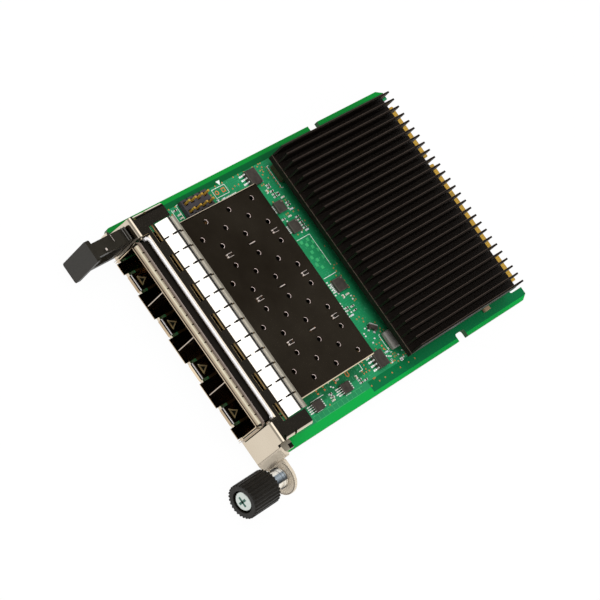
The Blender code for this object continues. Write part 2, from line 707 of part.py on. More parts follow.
def bent_sheet(name, patches, thickness, finish):
    """Join patches of an outer skin along their shared edges and give it a sheet's thickness."""
    bm = bmesh.new()
    for rows in patches:
        grid(bm, rows)
    bmesh.ops.remove_doubles(bm, verts=bm.verts, dist=1e-6)
    bmesh.ops.recalc_face_normals(bm, faces=bm.faces)
    bm.faces.ensure_lookup_table()
    front = min(bm.faces, key=lambda face: face.calc_center_median().y)
    if front.normal.y > 0.0:
        bmesh.ops.reverse_faces(bm, faces=bm.faces)
    mesh = bpy.data.meshes.new(name)
    bm.to_mesh(mesh)
    bm.free()
    made = add_object(name, mesh, finish)
    wall = made.modifiers.new("sheet", "SOLIDIFY")
    wall.thickness = thickness * MM
    wall.offset = -1.0
    wall.use_even_offset = True
    return made


def bracket_patches(ear_front, ear_root):
    """The bracket's outer skin: face, wings, mouth lip, flange, side walls and feet."""
    bend = BEND_RADIUS
    mouth = CAGE_WIDTH / 2 + FACE_OPEN_GAP
    strip = FINGERS * FINGER_PITCH / 2 + CLEAR
    land = FLANGE_HALF - bend
    wing_x = FACE_HALF + WING_WIDTH
    wing_y = FACE_FRONT + WING_WIDTH * math.tan(WING_ANGLE)
    spring_line = FLANGE_TOP - bend
    levels = [FACE_BOTTOM, FACE_SILL, SCREW_Z + EAR_RADIUS - 0.3, WING_TOP, spring_line]
    brow = mouth - FOLD_RELIEF
    rear = [FACE_FRONT + bend, FACE_FRONT + bend + 0.5, FACE_FRONT + bend + 0.5 + FOLD_RELIEF,
            FACE_FRONT + MOUTH_STEP + bend, FLANGE_STEP, FLANGE_REAR]
    ankle = FOOT_SOLE + bend
    patches = []
    for side in (-1, 1):
        stations = [side * x for x in (mouth, strip, land, FLANGE_HALF)]
        patches.append([[(x, FACE_FRONT, z) for x in stations] for z in levels])
        front_bend = arc((rear[0], spring_line), bend, 180, 90, 6)
        patches.append([[(x, y, z) for x in stations] for y, z in front_bend])
        patches.append([[(x, y, FLANGE_TOP) for x in stations] for y in rear[:2]])
        patches.append([[(x, y, FLANGE_TOP) for x in stations[:3]] for y in rear[1:5]])
        patches.append([[(x, y, FLANGE_TOP) for x in stations[1:3]] for y in rear[4:]])
        down = [(side * x, z) for x, z in arc((land, spring_line), bend, 90, 0, 6)]
        patches.append([[(x, y, z) for y in rear[2:]] for x, z in [*down, (side * FLANGE_HALF, ankle)]])
        under = [(side * x, z) for x, z in arc((land, ankle), bend, 0, -90, 5)]
        toe = (side * (FLANGE_HALF - FOOT_SHELF), FOOT_SOLE)
        patches.append([[(x, y, z) for y in rear[2:5]] for x, z in [*under, toe]])
        if side > 0:
            wing = filleted([(FLANGE_HALF, FACE_FRONT), (FACE_HALF + 0.6, FACE_FRONT), (wing_x, wing_y),
                             (ear_root, ear_front)], [0, 1.8, BEND_RADIUS, 0], 4)
            jog = [(ear_root, ear_front), (ear_root + 0.4, ear_front)]
            patches.append([[(x, y, z) for x, y in jog] for z in levels[:3]])
        else:
            wing = [(-x, y) for x, y in filleted([(FLANGE_HALF, FACE_FRONT), (FACE_HALF + 0.3, FACE_FRONT),
                                                  (wing_x - 1.2, wing_y)], [0, 1.5, 0], 3)]
        patches.append([[(x, y, z) for x, y in wing] for z in levels[:4]])
    patches.append([[(x, FACE_FRONT, z) for x in (-mouth, mouth)] for z in levels[:2]])
    lip = arc((rear[3], spring_line), bend, LIP_START, 90, 6)
    patches.append([[(x, y, z) for x in (-brow, brow)] for y, z in lip])
    patches.append([[(x, y, FLANGE_TOP) for x in (-mouth, -brow, brow, mouth)] for y in rear[3:5]])
    return patches


def build_bracket():
    """The bent faceplate, with its windows, screw ear and drilled feet."""
    ear_front = FACE_FRONT + EAR_JOG
    ear_root = FACE_HALF + WING_WIDTH + 0.75
    bracket = bent_sheet("bracket", bracket_patches(ear_front, ear_root), SHEET, NICKEL)
    swell = 0.05
    outline = [(ear_root + 0.15, SCREW_Z - EAR_RADIUS)] + arc((SCREW_X, SCREW_Z), EAR_RADIUS, -90, 90, 16)
    outline.append((ear_root + 0.15, SCREW_Z + EAR_RADIUS))
    ear = prism("screw_ear", outline, "Y", ear_front - swell, ear_front + SHEET + swell, None,
                [circle((SCREW_X, SCREW_Z), FERRULE_NECK + CLEAR, 24)])
    join(bracket, ear)
    middle = FACE_FRONT + WINDOW_SETBACK
    windows = []
    for n in range(WINDOWS):
        x = (n - (WINDOWS - 1) / 2) * WINDOW_PITCH
        windows.append(((x - WINDOW_SIZE[0] / 2, middle - WINDOW_SIZE[1] / 2, FLANGE_TOP - 2 * SHEET),
                        (x + WINDOW_SIZE[0] / 2, middle + WINDOW_SIZE[1] / 2, FLANGE_TOP + 1.0)))
    cut(bracket, boxes("flange_windows", windows))
    reliefs = []
    for side in (-1, 1):
        near, far = sorted((side * (FLANGE_HALF - 0.9), side * (FLANGE_HALF + 1.0)))
        reliefs.append(((near, FLANGE_STEP - 0.6, FLANGE_TOP - 2 * BEND_RADIUS),
                        (far, FLANGE_STEP + 0.2, FLANGE_TOP + 1.0)))
    cut(bracket, boxes("side_reliefs", reliefs))
    screws = [(x, y, FOOT_SOLE + SHEET / 2) for x, y in foot_spots()]
    cut(bracket, cylinders("foot_holes", screws, FOOT_SCREW_RADIUS + CLEAR, 4 * SHEET, sides=16))
    rivets = [(TAB_X, FACE_FRONT + SHEET / 2, z) for z in rivet_heights()]
    cut(bracket, cylinders("rivet_holes", rivets, RIVET_RADIUS + CLEAR, 4 * SHEET, "Y", 14))


def cross(screw, name, centre, arm, half_width, low, high):
    """Cut a cross recess into a screw that stands along Z."""
    x, y = centre
    for axis, (reach_x, reach_y) in (("level", (arm, half_width)), ("upright", (half_width, arm))):
        blade = ((x - reach_x, y - reach_y, low), (x + reach_x, y + reach_y, high))
        cut(screw, boxes(f"{name}_{axis}", [blade]))


def build_foot_screws():
    """Screws that hold the bracket's feet down on the board."""
    for n, (x, y) in enumerate(foot_spots()):
        head = FOOT_SOLE + SHEET + CLEAR
        radius, height = FOOT_SCREW_HEAD
        screw = cylinders(f"bracket_screw_{n + 1}", [(x, y, head + height / 2)], radius, height,
                          sides=20, finish=STEEL)
        shank = cylinders(f"bracket_shank_{n}", [(x, y, (head + 0.2) / 2)], FOOT_SCREW_RADIUS,
                          head + 0.6, sides=14)
        join(screw, shank)
        cross(screw, f"bracket_cross_{n}", (x, y), 0.62 * radius, 0.2, head + height / 2, head + 2 * height)


def build_finger_strip():
    """The row of sprung fingers behind the flange, one strip slit into fingers."""
    start = FLANGE_STEP + CLEAR
    low = FLANGE_TOP - 0.1
    crown = start + FINGER_RUN[0]
    foot = crown + FINGER_RUN[1]
    end = foot + FINGER_RUN[2]
    top = FLANGE_TOP + FINGER_RISE
    rest = CAGE_TOP + CLEAR + FINGER_THICK
    corners = [(start, low), (crown, top), (foot, rest + 0.25), (end, rest)]
    path = filleted(corners, [0, *FINGER_BENDS, 0], 4)
    half = FINGERS * FINGER_PITCH / 2
    strip = prism("finger_strip", ribbon(path, FINGER_THICK), "X", -half, half, SPRING_STEEL)
    slots = []
    for n in range(1, FINGERS):
        x = n * FINGER_PITCH - half
        slots.append(((x - FINGER_SLOT / 2, start - 1.0, low - 1.0),
                      (x + FINGER_SLOT / 2, start + FINGER_SLITS[0], top + 1.0)))
        slots.append(((x - FINGER_SLOT / 2, start + FINGER_SLITS[1], CAGE_TOP - 1.0),
                      (x + FINGER_SLOT / 2, end - 0.6, top + 1.0)))
    cut(strip, boxes("finger_slots", slots))


def rivet_heights():
    """Heights of the two rivets that hold the pull tab."""
    middle = TAB_BOTTOM + TAB_HEIGHT / 2 + 0.4
    return (middle - RIVET_PITCH / 2, middle + RIVET_PITCH / 2)


def build_pull_tab():
    """The moulded pull tab: a grip plate, two arms and a solid foot round a finger gap."""
    rear = FACE_FRONT - CLEAR
    front = FACE_FRONT - TAB_REACH
    plate_rear = front + TAB_PLATE[2]
    bottom = TAB_BOTTOM
    top = TAB_BOTTOM + TAB_HEIGHT
    half_arm = TAB_ARM_WIDTH / 2
    inner_low, inner_high = bottom + TAB_ARM_THICK, top - TAB_ARM_THICK
    outer = filleted([(front + 0.4, bottom), (rear, bottom), (rear, top), (front + 0.4, top)],
                     [0, 0.5, 0.5, 0], 3)
    inner = filleted([(plate_rear, inner_low), (rear - TAB_BASE, inner_low),
                      (rear - TAB_BASE, inner_high), (plate_rear, inner_high)], [TAB_CORNER] * 4, 4)
    tab = prism("pull_tab", outer, "X", TAB_X - half_arm, TAB_X + half_arm, BLACK_PLASTIC, [inner])
    middle = (bottom + top) / 2
    half_x, half_z = TAB_PLATE[0] / 2, TAB_PLATE[1] / 2
    grip = [(TAB_X - half_x, middle - half_z), (TAB_X + half_x, middle - half_z),
            (TAB_X + half_x, middle + half_z), (TAB_X - half_x, middle + half_z)]
    plate = prism("grip_plate", filleted(grip, [0.6] * 4, 3), "Y", front, plate_rear)
    join(tab, plate)
    ribs = [((TAB_X - TAB_ARM_WIDTH, rear - TAB_BASE + 0.3 + 0.75 * n, top - 0.22),
             (TAB_X + TAB_ARM_WIDTH, rear - TAB_BASE + 0.6 + 0.75 * n, top + 1.0)) for n in range(3)]
    cut(tab, boxes("tab_grooves", ribs))
    pockets = [(TAB_X, rear, z) for z in rivet_heights()]
    cut(tab, cylinders("rivet_pockets", pockets, RIVET_RADIUS + CLEAR, 2 * (TAB_BASE - 0.5), "Y", 14))


def build_rivets():
    """Rivets from behind the face into the foot of the pull tab."""
    head = FACE_FRONT + SHEET + CLEAR
    tip = FACE_FRONT - CLEAR - TAB_BASE + 0.5 + CLEAR
    for n, z in enumerate(rivet_heights()):
        profile = [(0.0, head + RIVET_HEAD[1]), (RIVET_HEAD[0] - 0.25, head + RIVET_HEAD[1]),
                   (RIVET_HEAD[0], head + RIVET_HEAD[1] - 0.3), (RIVET_HEAD[0], head), (RIVET_RADIUS, head),
                   (RIVET_RADIUS, tip + 0.2), (RIVET_RADIUS - 0.2, tip), (0.0, tip)]
        turned(f"tab_rivet_{n + 1}", profile, TAB_X, z, STEEL, 16)


def build_thumbscrew():
    """The captive screw: knob, screw, ferrule swaged into the ear, and its spring."""
    ear_front = FACE_FRONT + EAR_JOG
    ear_rear = ear_front + SHEET
    knob_rear = ear_front - KNOB_GAP
    knob_front = knob_rear - KNOB_LENGTH
    bore_end = knob_front + KNOB_WEB
    rim = 0.45
    recess = SCREW_HEAD[0] + 0.45
    neck_hole = SCREW_NECK + CLEAR
    knob_profile = [(KNOB_BORE, knob_rear), (KNOB_RADIUS - rim, knob_rear), (KNOB_RADIUS, knob_rear - rim),
                    (KNOB_RADIUS, knob_front + rim), (KNOB_RADIUS - rim, knob_front), (recess, knob_front),
                    (recess, knob_front + SCREW_HEAD[1] + 0.2), (neck_hole, knob_front + SCREW_HEAD[1] + 0.2),
                    (neck_hole, bore_end), (KNOB_BORE, bore_end)]
    knob = turned("thumbscrew_knob", knob_profile, SCREW_X, SCREW_Z, BLACK_PLASTIC, KNOB_FLUTES * 2)

    def flutes(bm):
        for n in range(KNOB_FLUTES):
            angle = 2 * math.pi * n / KNOB_FLUTES
            put_cylinder(bm, (SCREW_X + (KNOB_RADIUS + 0.05) * math.cos(angle), (knob_front + knob_rear) / 2,
                              SCREW_Z + (KNOB_RADIUS + 0.05) * math.sin(angle)),
                         KNOB_FLUTE_RADIUS, KNOB_LENGTH + 2.0, "Y", 6)
    cut(knob, mesh_object("knob_flutes", flutes))
    tip = ear_rear + SCREW_TIP
    thread_start = ear_front - FERRULE_LENGTH + FERRULE_STOP + CLEAR
    head_rear = knob_front + SCREW_HEAD[1] - 0.1
    screw_profile = [(0.0, tip), (SCREW_THREAD - 0.4, tip), (SCREW_THREAD, tip - 0.4),
                     (SCREW_THREAD, thread_start), (SCREW_NECK, thread_start),
                     (SCREW_NECK, head_rear), (SCREW_HEAD[0], head_rear),
                     (SCREW_HEAD[0], knob_front + 0.45), (SCREW_HEAD[0] - 0.5, knob_front + 0.15),
                     (0.0, knob_front + 0.1)]
    screw = turned("thumbscrew", screw_profile, SCREW_X, SCREW_Z, STEEL, 28)
    arm, blade = SCREW_CROSS[0], SCREW_CROSS[1] / 2
    front, deep = knob_front - 1.0, knob_front + SCREW_CROSS[2]
    for axis, (reach_x, reach_z) in (("level", (arm, blade)), ("upright", (blade, arm))):
        cut(screw, boxes(f"knob_cross_{axis}", [((SCREW_X - reach_x, front, SCREW_Z - reach_z),
                                                 (SCREW_X + reach_x, deep, SCREW_Z + reach_z))]))
    ferrule_front = ear_front - FERRULE_LENGTH
    lip_front = ear_rear + CLEAR
    lip_rear = lip_front + FERRULE_LIP[1]
    sleeve = FERRULE_RADIUS - 0.25
    ferrule_profile = [(FERRULE_BORE, lip_rear), (FERRULE_LIP[0] - 0.2, lip_rear),
                       (FERRULE_LIP[0], lip_rear - 0.2), (FERRULE_LIP[0], lip_front),
                       (FERRULE_NECK, lip_front), (FERRULE_NECK, ear_front - CLEAR),
                       (FERRULE_RADIUS, ear_front - CLEAR), (FERRULE_RADIUS, ear_front - 1.3),
                       (sleeve, ear_front - 1.5), (sleeve, ferrule_front),
                       (SCREW_NECK + CLEAR, ferrule_front),
                       (SCREW_NECK + CLEAR, ferrule_front + FERRULE_STOP),
                       (FERRULE_BORE, ferrule_front + FERRULE_STOP)]
    turned("screw_ferrule", ferrule_profile, SCREW_X, SCREW_Z, STEEL, 32)
    build_spring(bore_end + CLEAR, ferrule_front - CLEAR)


def build_spring(front, rear):
    """The coil spring that pushes the released screw out of the ferrule."""
    radius = (SCREW_NECK + KNOB_BORE) / 2
    span = rear - front - 2 * SPRING_WIRE
    per_turn = 14
    count = SPRING_TURNS * per_turn + 1
    curve = bpy.data.curves.new("screw_spring", "CURVE")
    curve.dimensions = "3D"
    curve.bevel_depth = SPRING_WIRE * MM
    curve.bevel_resolution = 1
    curve.use_fill_caps = True
    spline = curve.splines.new("POLY")
    spline.points.add(count - 1)
    for n, point in enumerate(spline.points):
        angle = 2 * math.pi * n / per_turn
        share = n / (count - 1)
        point.co = ((SCREW_X + radius * math.cos(angle)) * MM, (front + SPRING_WIRE + span * share) * MM,
                    (SCREW_Z + radius * math.sin(angle)) * MM, 1.0)
    spring = bpy.data.objects.new("screw_spring", curve)
    curve.materials.append(SPRING_STEEL)
    PARTS.objects.link(spring)
    weld = spring.modifiers.new("weld", "WELD")
    weld.merge_threshold = 1e-6


def build_controller():
    """The controller under the heat sink: substrate, lid and thermal pad."""
    z = BOARD_TOP + CLEAR
    for name, size, thick, finish in (("controller_substrate", CHIP_SIZE, CHIP_LAYERS[0], SUBSTRATE),
                                      ("controller_lid", CHIP_LID, CHIP_LAYERS[1], STEEL),
                                      ("thermal_pad", PAD_SIDE, CHIP_LAYERS[2], THERMAL_PAD)):
        half = size / 2
        corners = [(-half, CHIP_Y - half), (half, CHIP_Y - half),
                   (half, CHIP_Y + half), (-half, CHIP_Y + half)]
        prism(name, filleted(corners, [0.6] * 4, 3), "Z", z, z + thick, finish)
        z += thick + CLEAR


def sink_underside():
    """Height of the heat sink's underside, on top of the thermal pad."""
    return BOARD_TOP + sum(CHIP_LAYERS) + (len(CHIP_LAYERS) + 1) * CLEAR


def build_heatsink():
    """The finned heat sink: one comb along the card, on four posts."""
    bottom = sink_underside()
    base_top = bottom + SINK_BASE
    tip = BOARD_TOP + SINK_HEIGHT
    half = FIN_PITCH * (FINS - 1) / 2 + FIN_THICK / 2
    comb = [(-half, bottom), (half, bottom)]
    for n in reversed(range(FINS)):
        x = (n - (FINS - 1) / 2) * FIN_PITCH
        left, right = x - FIN_THICK / 2, x + FIN_THICK / 2
        comb += [(right, base_top), (right, tip), (left, tip), (left, base_top)]
    del comb[2], comb[-1]
    sink = prism("heatsink", comb, "Y", SINK_FRONT, SINK_BASE_REAR, BLACK_ANODISE)
    wide = half + 1.0
    cut(sink, boxes("fin_ends", [((-wide, SINK_REAR, base_top), (wide, SINK_BASE_REAR + 1.0, tip + 1.0))]))
    foot = BOARD_TOP + CLEAR
    for n, (x, y) in enumerate(post_spots()):
        join(sink, cylinders(f"sink_post_{n}", [(x, y, (foot + bottom + 0.4) / 2)], POST_RADIUS,
                             bottom + 0.4 - foot, sides=18))
    bores = [(x, y, foot) for x, y in post_spots()]
    depth = bottom + SINK_BASE / 2 - foot
    cut(sink, cylinders("post_bores", bores, SINK_SCREW_RADIUS + CLEAR, 2 * depth, sides=14))


def build_sink_screws():
    """Screws from under the board into the heat sink's posts."""
    head_top = -CLEAR
    head_low = head_top - SINK_SCREW_HEAD[1]
    tip = sink_underside() + SINK_BASE / 2 - CLEAR
    for n, (x, y) in enumerate(post_spots()):
        screw = cylinders(f"heatsink_screw_{n + 1}", [(x, y, (head_top + head_low) / 2)], SINK_SCREW_HEAD[0],
                          SINK_SCREW_HEAD[1], sides=18, finish=STEEL)
        join(screw, cylinders(f"sink_shank_{n}", [(x, y, (tip + head_low + 0.4) / 2)], SINK_SCREW_RADIUS,
                              tip - head_low - 0.4, sides=12))
        cross(screw, f"sink_cross_{n}", (x, y), SINK_SCREW_HEAD[0] / 2, 0.22, head_low - 1.0, head_low + 0.5)


def build_header():
    """The two-row pin header: a grooved housing and its square pins."""
    foot = BOARD_TOP + CLEAR
    half_x = HEADER_COLUMNS * HEADER_PITCH / 2
    half_y = HEADER_ROWS * HEADER_PITCH / 2
    housing = box("header_housing", (HEADER_X - half_x, HEADER_Y - half_y, foot),
                  (HEADER_X + half_x, HEADER_Y + half_y, foot + HEADER_HEIGHT), BLACK_PLASTIC)
    grooves = []
    for n in range(1, HEADER_ROWS):
        y = HEADER_Y - half_y + n * HEADER_PITCH
        for side in (-1, 1):
            x = HEADER_X + side * half_x
            grooves.append(((x - 0.4, y - 0.35, foot - 1.0),
                            (x + 0.4, y + 0.35, foot + HEADER_HEIGHT + 1.0)))
    cut(housing, boxes("header_grooves", grooves))
    hole = PIN_WIDTH / 2 + CLEAR
    top = foot + HEADER_HEIGHT
    cut(housing, boxes("header_holes", [((x - hole, y - hole, foot - 1.0), (x + hole, y + hole, top + 1.0))
                                        for x, y in header_spots()]))
    for n, (x, y) in enumerate(header_spots()):
        box(f"header_pin_{n + 1}", (x - PIN_WIDTH / 2, y - PIN_WIDTH / 2, -PIN_BELOW),
            (x + PIN_WIDTH / 2, y + PIN_WIDTH / 2, BOARD_TOP + PIN_TOP), GOLD, 0.12, 1)


def flat_chip(name, centre, size, finish, bevel=0.08):
    """A flat package that sits on the board."""
    x, y = centre
    w, l, h = size
    z = BOARD_TOP + CLEAR
    return box(name, (x - w / 2, y - l / 2, z), (x + w / 2, y + l / 2, z + h), finish, bevel, 1)


def leaded_chip(name, centre, size, leads, pitch, turn=0.0):
    """A small-outline package with gull-wing leads, turned about its middle by an angle in degrees.

    The leads stand on its two sides along X; leads gives how many are on the low and the high side.
    """
    w, l, h = size
    half_wide = LEAD_SHARE * pitch / 2
    drop = 0.2 + h / 2
    edge = l / 2 - 0.2
    path = [(0.0, drop + LEAD_THICK), (0.45 * LEAD_REACH, drop + LEAD_THICK), (0.55 * LEAD_REACH, LEAD_THICK),
            (LEAD_REACH, LEAD_THICK), (LEAD_REACH, 0.0), (0.45 * LEAD_REACH, 0.0), (0.35 * LEAD_REACH, drop),
            (0.0, drop)]
    body = box(name, (-w / 2, -l / 2, 0.2), (w / 2, l / 2, 0.2 + h), EPOXY)
    parts = [body]
    for side, count in zip((-1, 1), leads):
        outline = [(side * (edge + u), v) for u, v in path]
        for n in range(count):
            x = (n - (count - 1) / 2) * pitch
            parts.append(prism(f"{name}_lead_{side}_{n}", outline, "X", x - half_wide, x + half_wide))
    place = Matrix.Translation(Vector((*centre, BOARD_TOP + 0.1)) * MM)
    place @= Matrix.Rotation(math.radians(turn), 4, "Z")
    for part in parts:
        part.data.transform(place)
    return join(body, *parts[1:])


def build_components():
    """The larger parts soldered on the board's open areas."""
    rear = CAGE_REAR
    strip = PORTS_WIDTH / 2
    left, right = CHOKES
    flat_chip("inductor_left", (-strip - 1.2, rear + CHOKE_FRONT + left[1] / 2 + 2.0), left, FERRITE, 0.3)
    flat_chip("inductor_right", (strip - 1.4, rear + CHOKE_FRONT + right[1] / 2), right, FERRITE, 0.3)
    flat_chip("clock_chip", (-21.0, rear + ROW_BEHIND), (3.5, 3.5, FLAT_HEIGHT), EPOXY)
    flat_chip("retimer_chip", (-14.1, rear + ROW_BEHIND + 0.3), (3.7, 3.7, FLAT_HEIGHT), EPOXY)
    flat_chip("monitor_chip", (6.4, rear + ROW_BEHIND + 1.6), (4.0, 4.0, FLAT_HEIGHT), EPOXY)
    flat_chip("bulk_capacitor", (BOARD_WIDTH / 2 - 3.7, SINK_BASE_REAR - 9.9), (1.4, 2.4, 1.0), CERAMIC)
    leaded_chip("regulator_left", (-strip - 3.4, rear + 8.5), WIDE_CHIP, (4, 4), WIDE_PITCH)
    leaded_chip("regulator_right", (strip + 1.6, rear + 8.3), WIDE_CHIP, (4, 4), WIDE_PITCH)
    for name, share in zip(("switch_chip", "flash_chip"), SMALL_ROWS):
        leaded_chip(name, (LANE, CAGE_FRONT + share * CAGE_LENGTH), SMALL_CHIP, (4, 4), SMALL_PITCH)
    leaded_chip("transistor", (0.75 * strip, rear + TRANSISTOR_BEHIND), TRANSISTOR, (2, 1), TRANSISTOR_PITCH,
                TRANSISTOR_TURN)


build_board()
build_cage_shell()
build_cage_floor()
build_dividers()
build_collar()
build_host_connectors()
build_bracket()
build_foot_screws()
build_finger_strip()
build_pull_tab()
build_rivets()
build_thumbscrew()
build_controller()
build_heatsink()
build_sink_screws()
build_header()
build_components()
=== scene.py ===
import json
import math
import random

import bmesh
import bpy
from mathutils import Matrix, Vector

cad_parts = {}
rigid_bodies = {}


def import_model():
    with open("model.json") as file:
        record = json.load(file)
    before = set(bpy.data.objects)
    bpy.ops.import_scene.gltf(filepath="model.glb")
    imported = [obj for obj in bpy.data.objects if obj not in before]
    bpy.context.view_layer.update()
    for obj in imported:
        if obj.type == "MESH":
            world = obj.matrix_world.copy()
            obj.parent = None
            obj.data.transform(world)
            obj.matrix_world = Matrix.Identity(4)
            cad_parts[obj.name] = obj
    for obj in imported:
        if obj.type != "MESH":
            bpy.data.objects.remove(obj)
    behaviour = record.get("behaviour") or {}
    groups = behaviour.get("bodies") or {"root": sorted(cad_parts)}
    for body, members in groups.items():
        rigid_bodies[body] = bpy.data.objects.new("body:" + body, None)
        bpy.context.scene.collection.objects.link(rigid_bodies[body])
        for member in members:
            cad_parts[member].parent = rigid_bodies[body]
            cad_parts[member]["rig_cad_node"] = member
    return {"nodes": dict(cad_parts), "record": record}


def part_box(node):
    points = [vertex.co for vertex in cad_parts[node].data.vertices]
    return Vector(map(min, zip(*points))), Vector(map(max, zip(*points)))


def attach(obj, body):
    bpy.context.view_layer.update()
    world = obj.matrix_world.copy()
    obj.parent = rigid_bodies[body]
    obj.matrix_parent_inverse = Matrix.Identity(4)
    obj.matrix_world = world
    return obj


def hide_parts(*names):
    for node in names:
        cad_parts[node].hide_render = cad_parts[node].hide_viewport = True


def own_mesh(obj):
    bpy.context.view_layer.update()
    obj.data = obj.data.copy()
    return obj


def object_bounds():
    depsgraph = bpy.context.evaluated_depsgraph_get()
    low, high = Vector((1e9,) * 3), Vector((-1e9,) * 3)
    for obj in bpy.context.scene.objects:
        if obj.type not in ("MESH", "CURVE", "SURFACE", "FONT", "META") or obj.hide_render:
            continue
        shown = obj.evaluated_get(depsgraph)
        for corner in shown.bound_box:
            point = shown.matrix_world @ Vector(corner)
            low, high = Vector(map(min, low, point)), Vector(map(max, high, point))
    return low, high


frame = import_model()
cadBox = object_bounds()
nodes = frame["nodes"]
mm = 0.001
random.seed(11)
print("frame loaded,", len(nodes), "nodes")

# Places are in mm: across the card, back from the mouth of the ports, up from the top of the board
portMouth, boardTop, boardThick = -62.5, 1.57, 1.57
portPitch, cageTop = 14.25, 9.8
portCentres = [(n - 1.5) * portPitch for n in range(4)]


def spot(across, back, up=0.0):
    return Vector((across * mm, (portMouth + back) * mm, (boardTop + up) * mm))


# Shader sums: a Value wraps one socket, and Python's signs add the Math nodes.
class Value:
    def __init__(self, tree, socket):
        self.tree = tree
        self.socket = socket

    def maths(self, operation, *others, clamp=False):
        node = self.tree.nodes.new("ShaderNodeMath")
        node.operation = operation
        node.use_clamp = clamp
        for slot, item in zip(node.inputs, (self, *others)):
            plug(self.tree, slot, item)
        return Value(self.tree, node.outputs[0])

    def __add__(self, other): return self.maths("ADD", other)
    def __sub__(self, other): return self.maths("SUBTRACT", other)
    def __mul__(self, other): return self.maths("MULTIPLY", other)
    def __truediv__(self, other): return self.maths("DIVIDE", other)
    def __mod__(self, other): return self.maths("FLOORED_MODULO", other)
    def __gt__(self, other): return self.maths("GREATER_THAN", other)
    def __lt__(self, other): return self.maths("LESS_THAN", other)
    def __rsub__(self, other): return (self * -1.0) + other
    __radd__ = __add__
    __rmul__ = __mul__

    def size(self):
        return self.maths("ABSOLUTE")

    def larger(self, other):
        return self.maths("MAXIMUM", other)

    def held(self):                                # kept between 0 and 1
        return self.maths("ADD", 0.0, clamp=True)


def plug(tree, slot, item):
    if isinstance(item, Value):
        tree.links.new(item.socket, slot)
    else:
        slot.default_value = item


class Finish:
    def __init__(self, name):
        self.material = bpy.data.materials.new(name)
        self.material.use_nodes = True
        self.tree = self.material.node_tree
        self.tree.nodes.clear()
        self.place = self.make("ShaderNodeTexCoord", take="Object")
        self.x, self.y, self.z = (Value(self.tree, s) for s in self.make(
            "ShaderNodeSeparateXYZ", inputs={0: self.place}, take=None).outputs)

    def make(self, kind, settings=None, inputs=None, take=0):
        node = self.tree.nodes.new(kind)
        for key, setting in (settings or {}).items():
            if key == "stops":
                while len(node.color_ramp.elements) < len(setting):
                    node.color_ramp.elements.new(0.5)
                for stop, (at, colour) in zip(node.color_ramp.elements, setting):
                    stop.position = at
                    stop.color = (*colour, 1.0)
            else:
                setattr(node, key, setting)
        for key, item in (inputs or {}).items():
            plug(self.tree, node.inputs[key], item)
        return node if take is None else Value(self.tree, node.outputs[take])

    def cardPlace(self):                           # across, back and up in mm, as spot() takes them
        return self.x / mm, self.y / mm - portMouth, self.z / mm - boardTop

    def noise(self, scale, detail=3.0, stretch=None, rough=0.5):
        place = self.place
        if stretch:
            place = self.make("ShaderNodeMapping", inputs={"Vector": place, "Scale": stretch})
        return self.make("ShaderNodeTexNoise",
                         inputs={"Vector": place, "Scale": scale, "Detail": detail, "Roughness": rough})

    def ramp(self, value, *stops):
        return self.make("ShaderNodeValToRGB", {"stops": stops}, {0: value})

    def mix(self, share, first, second):
        first = (*first, 1.0) if isinstance(first, tuple) else first
        second = (*second, 1.0) if isinstance(second, tuple) else second
        return self.make("ShaderNodeMix", {"data_type": "RGBA"}, {0: share, 6: first, 7: second}, take=2)

    def band(self, value, low, high):              # 1 between two limits
        return (value > low) * (value < high)

    def bump(self, height, strength, depth):
        return self.make("ShaderNodeBump",
                         inputs={"Height": height, "Strength": strength, "Distance": depth})

    def close(self, colour, roughness, metallic=0.0, normal=None, **sockets):
        inputs = {"Base Color": (*colour, 1.0) if isinstance(colour, tuple) else colour,
                  "Roughness": roughness, "Metallic": metallic}
        if normal is not None:
            inputs["Normal"] = normal
        inputs.update({key.replace("_", " "): item for key, item in sockets.items()})
        shader = self.make("ShaderNodeBsdfPrincipled", inputs=inputs)
        self.make("ShaderNodeOutputMaterial", inputs={"Surface": shader}, take=None)
        return self.material


# Mesh helpers
def alone(obj):
    bpy.ops.object.select_all(action="DESELECT")
    obj.select_set(True)
    bpy.context.view_layer.objects.active = obj
    return obj


def applyAll(obj):
    alone(obj)
    for modifier in list(obj.modifiers):
        bpy.ops.object.modifier_apply(modifier=modifier.name)
    return obj


def edged(piece, width, segments=2, angle=40.0):
    bevel = piece.modifiers.new("edge", "BEVEL")
    bevel.width = width * mm
    bevel.segments = segments
    bevel.limit_method = "ANGLE"
    bevel.angle_limit = math.radians(angle)
    return applyAll(piece)


def smoothCopy(node, name, angle=35.0, edge=0.0, segments=2):
    piece = nodes[node].copy()
    piece.data = nodes[node].data.copy()
    piece.name = name
    for key in list(piece.keys()):
        del piece[key]
    bpy.context.scene.collection.objects.link(piece)
    piece.parent = None
    piece.hide_render = False
    alone(piece)
    bpy.ops.object.mode_set(mode="EDIT")
    bpy.ops.mesh.select_all(action="SELECT")
    bpy.ops.mesh.remove_doubles(threshold=2e-6)
    bpy.ops.mesh.dissolve_limited(angle_limit=math.radians(0.5))
    bpy.ops.object.mode_set(mode="OBJECT")
    if edge:
        edged(piece, edge, segments)
    bpy.ops.object.shade_smooth_by_angle(angle=math.radians(angle))
    weighted = piece.modifiers.new("flatFaces", "WEIGHTED_NORMAL")
    weighted.keep_sharp = True
    weighted.weight = 100
    applyAll(piece)
    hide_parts(node)
    return piece


def dress(piece, material, body="card"):
    piece.data.materials.clear()
    piece.data.materials.append(material)
    if "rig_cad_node" not in piece:
        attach(piece, body)
    return piece


def block(name, middle, size):                     # middle in metres, size in mm
    bpy.ops.object.select_all(action="DESELECT")
    bpy.ops.mesh.primitive_cube_add(size=1.0, location=middle, scale=[s * mm for s in size])
    piece = bpy.context.active_object
    piece.name = name
    bpy.ops.object.transform_apply(location=True, rotation=True, scale=True)
    return piece


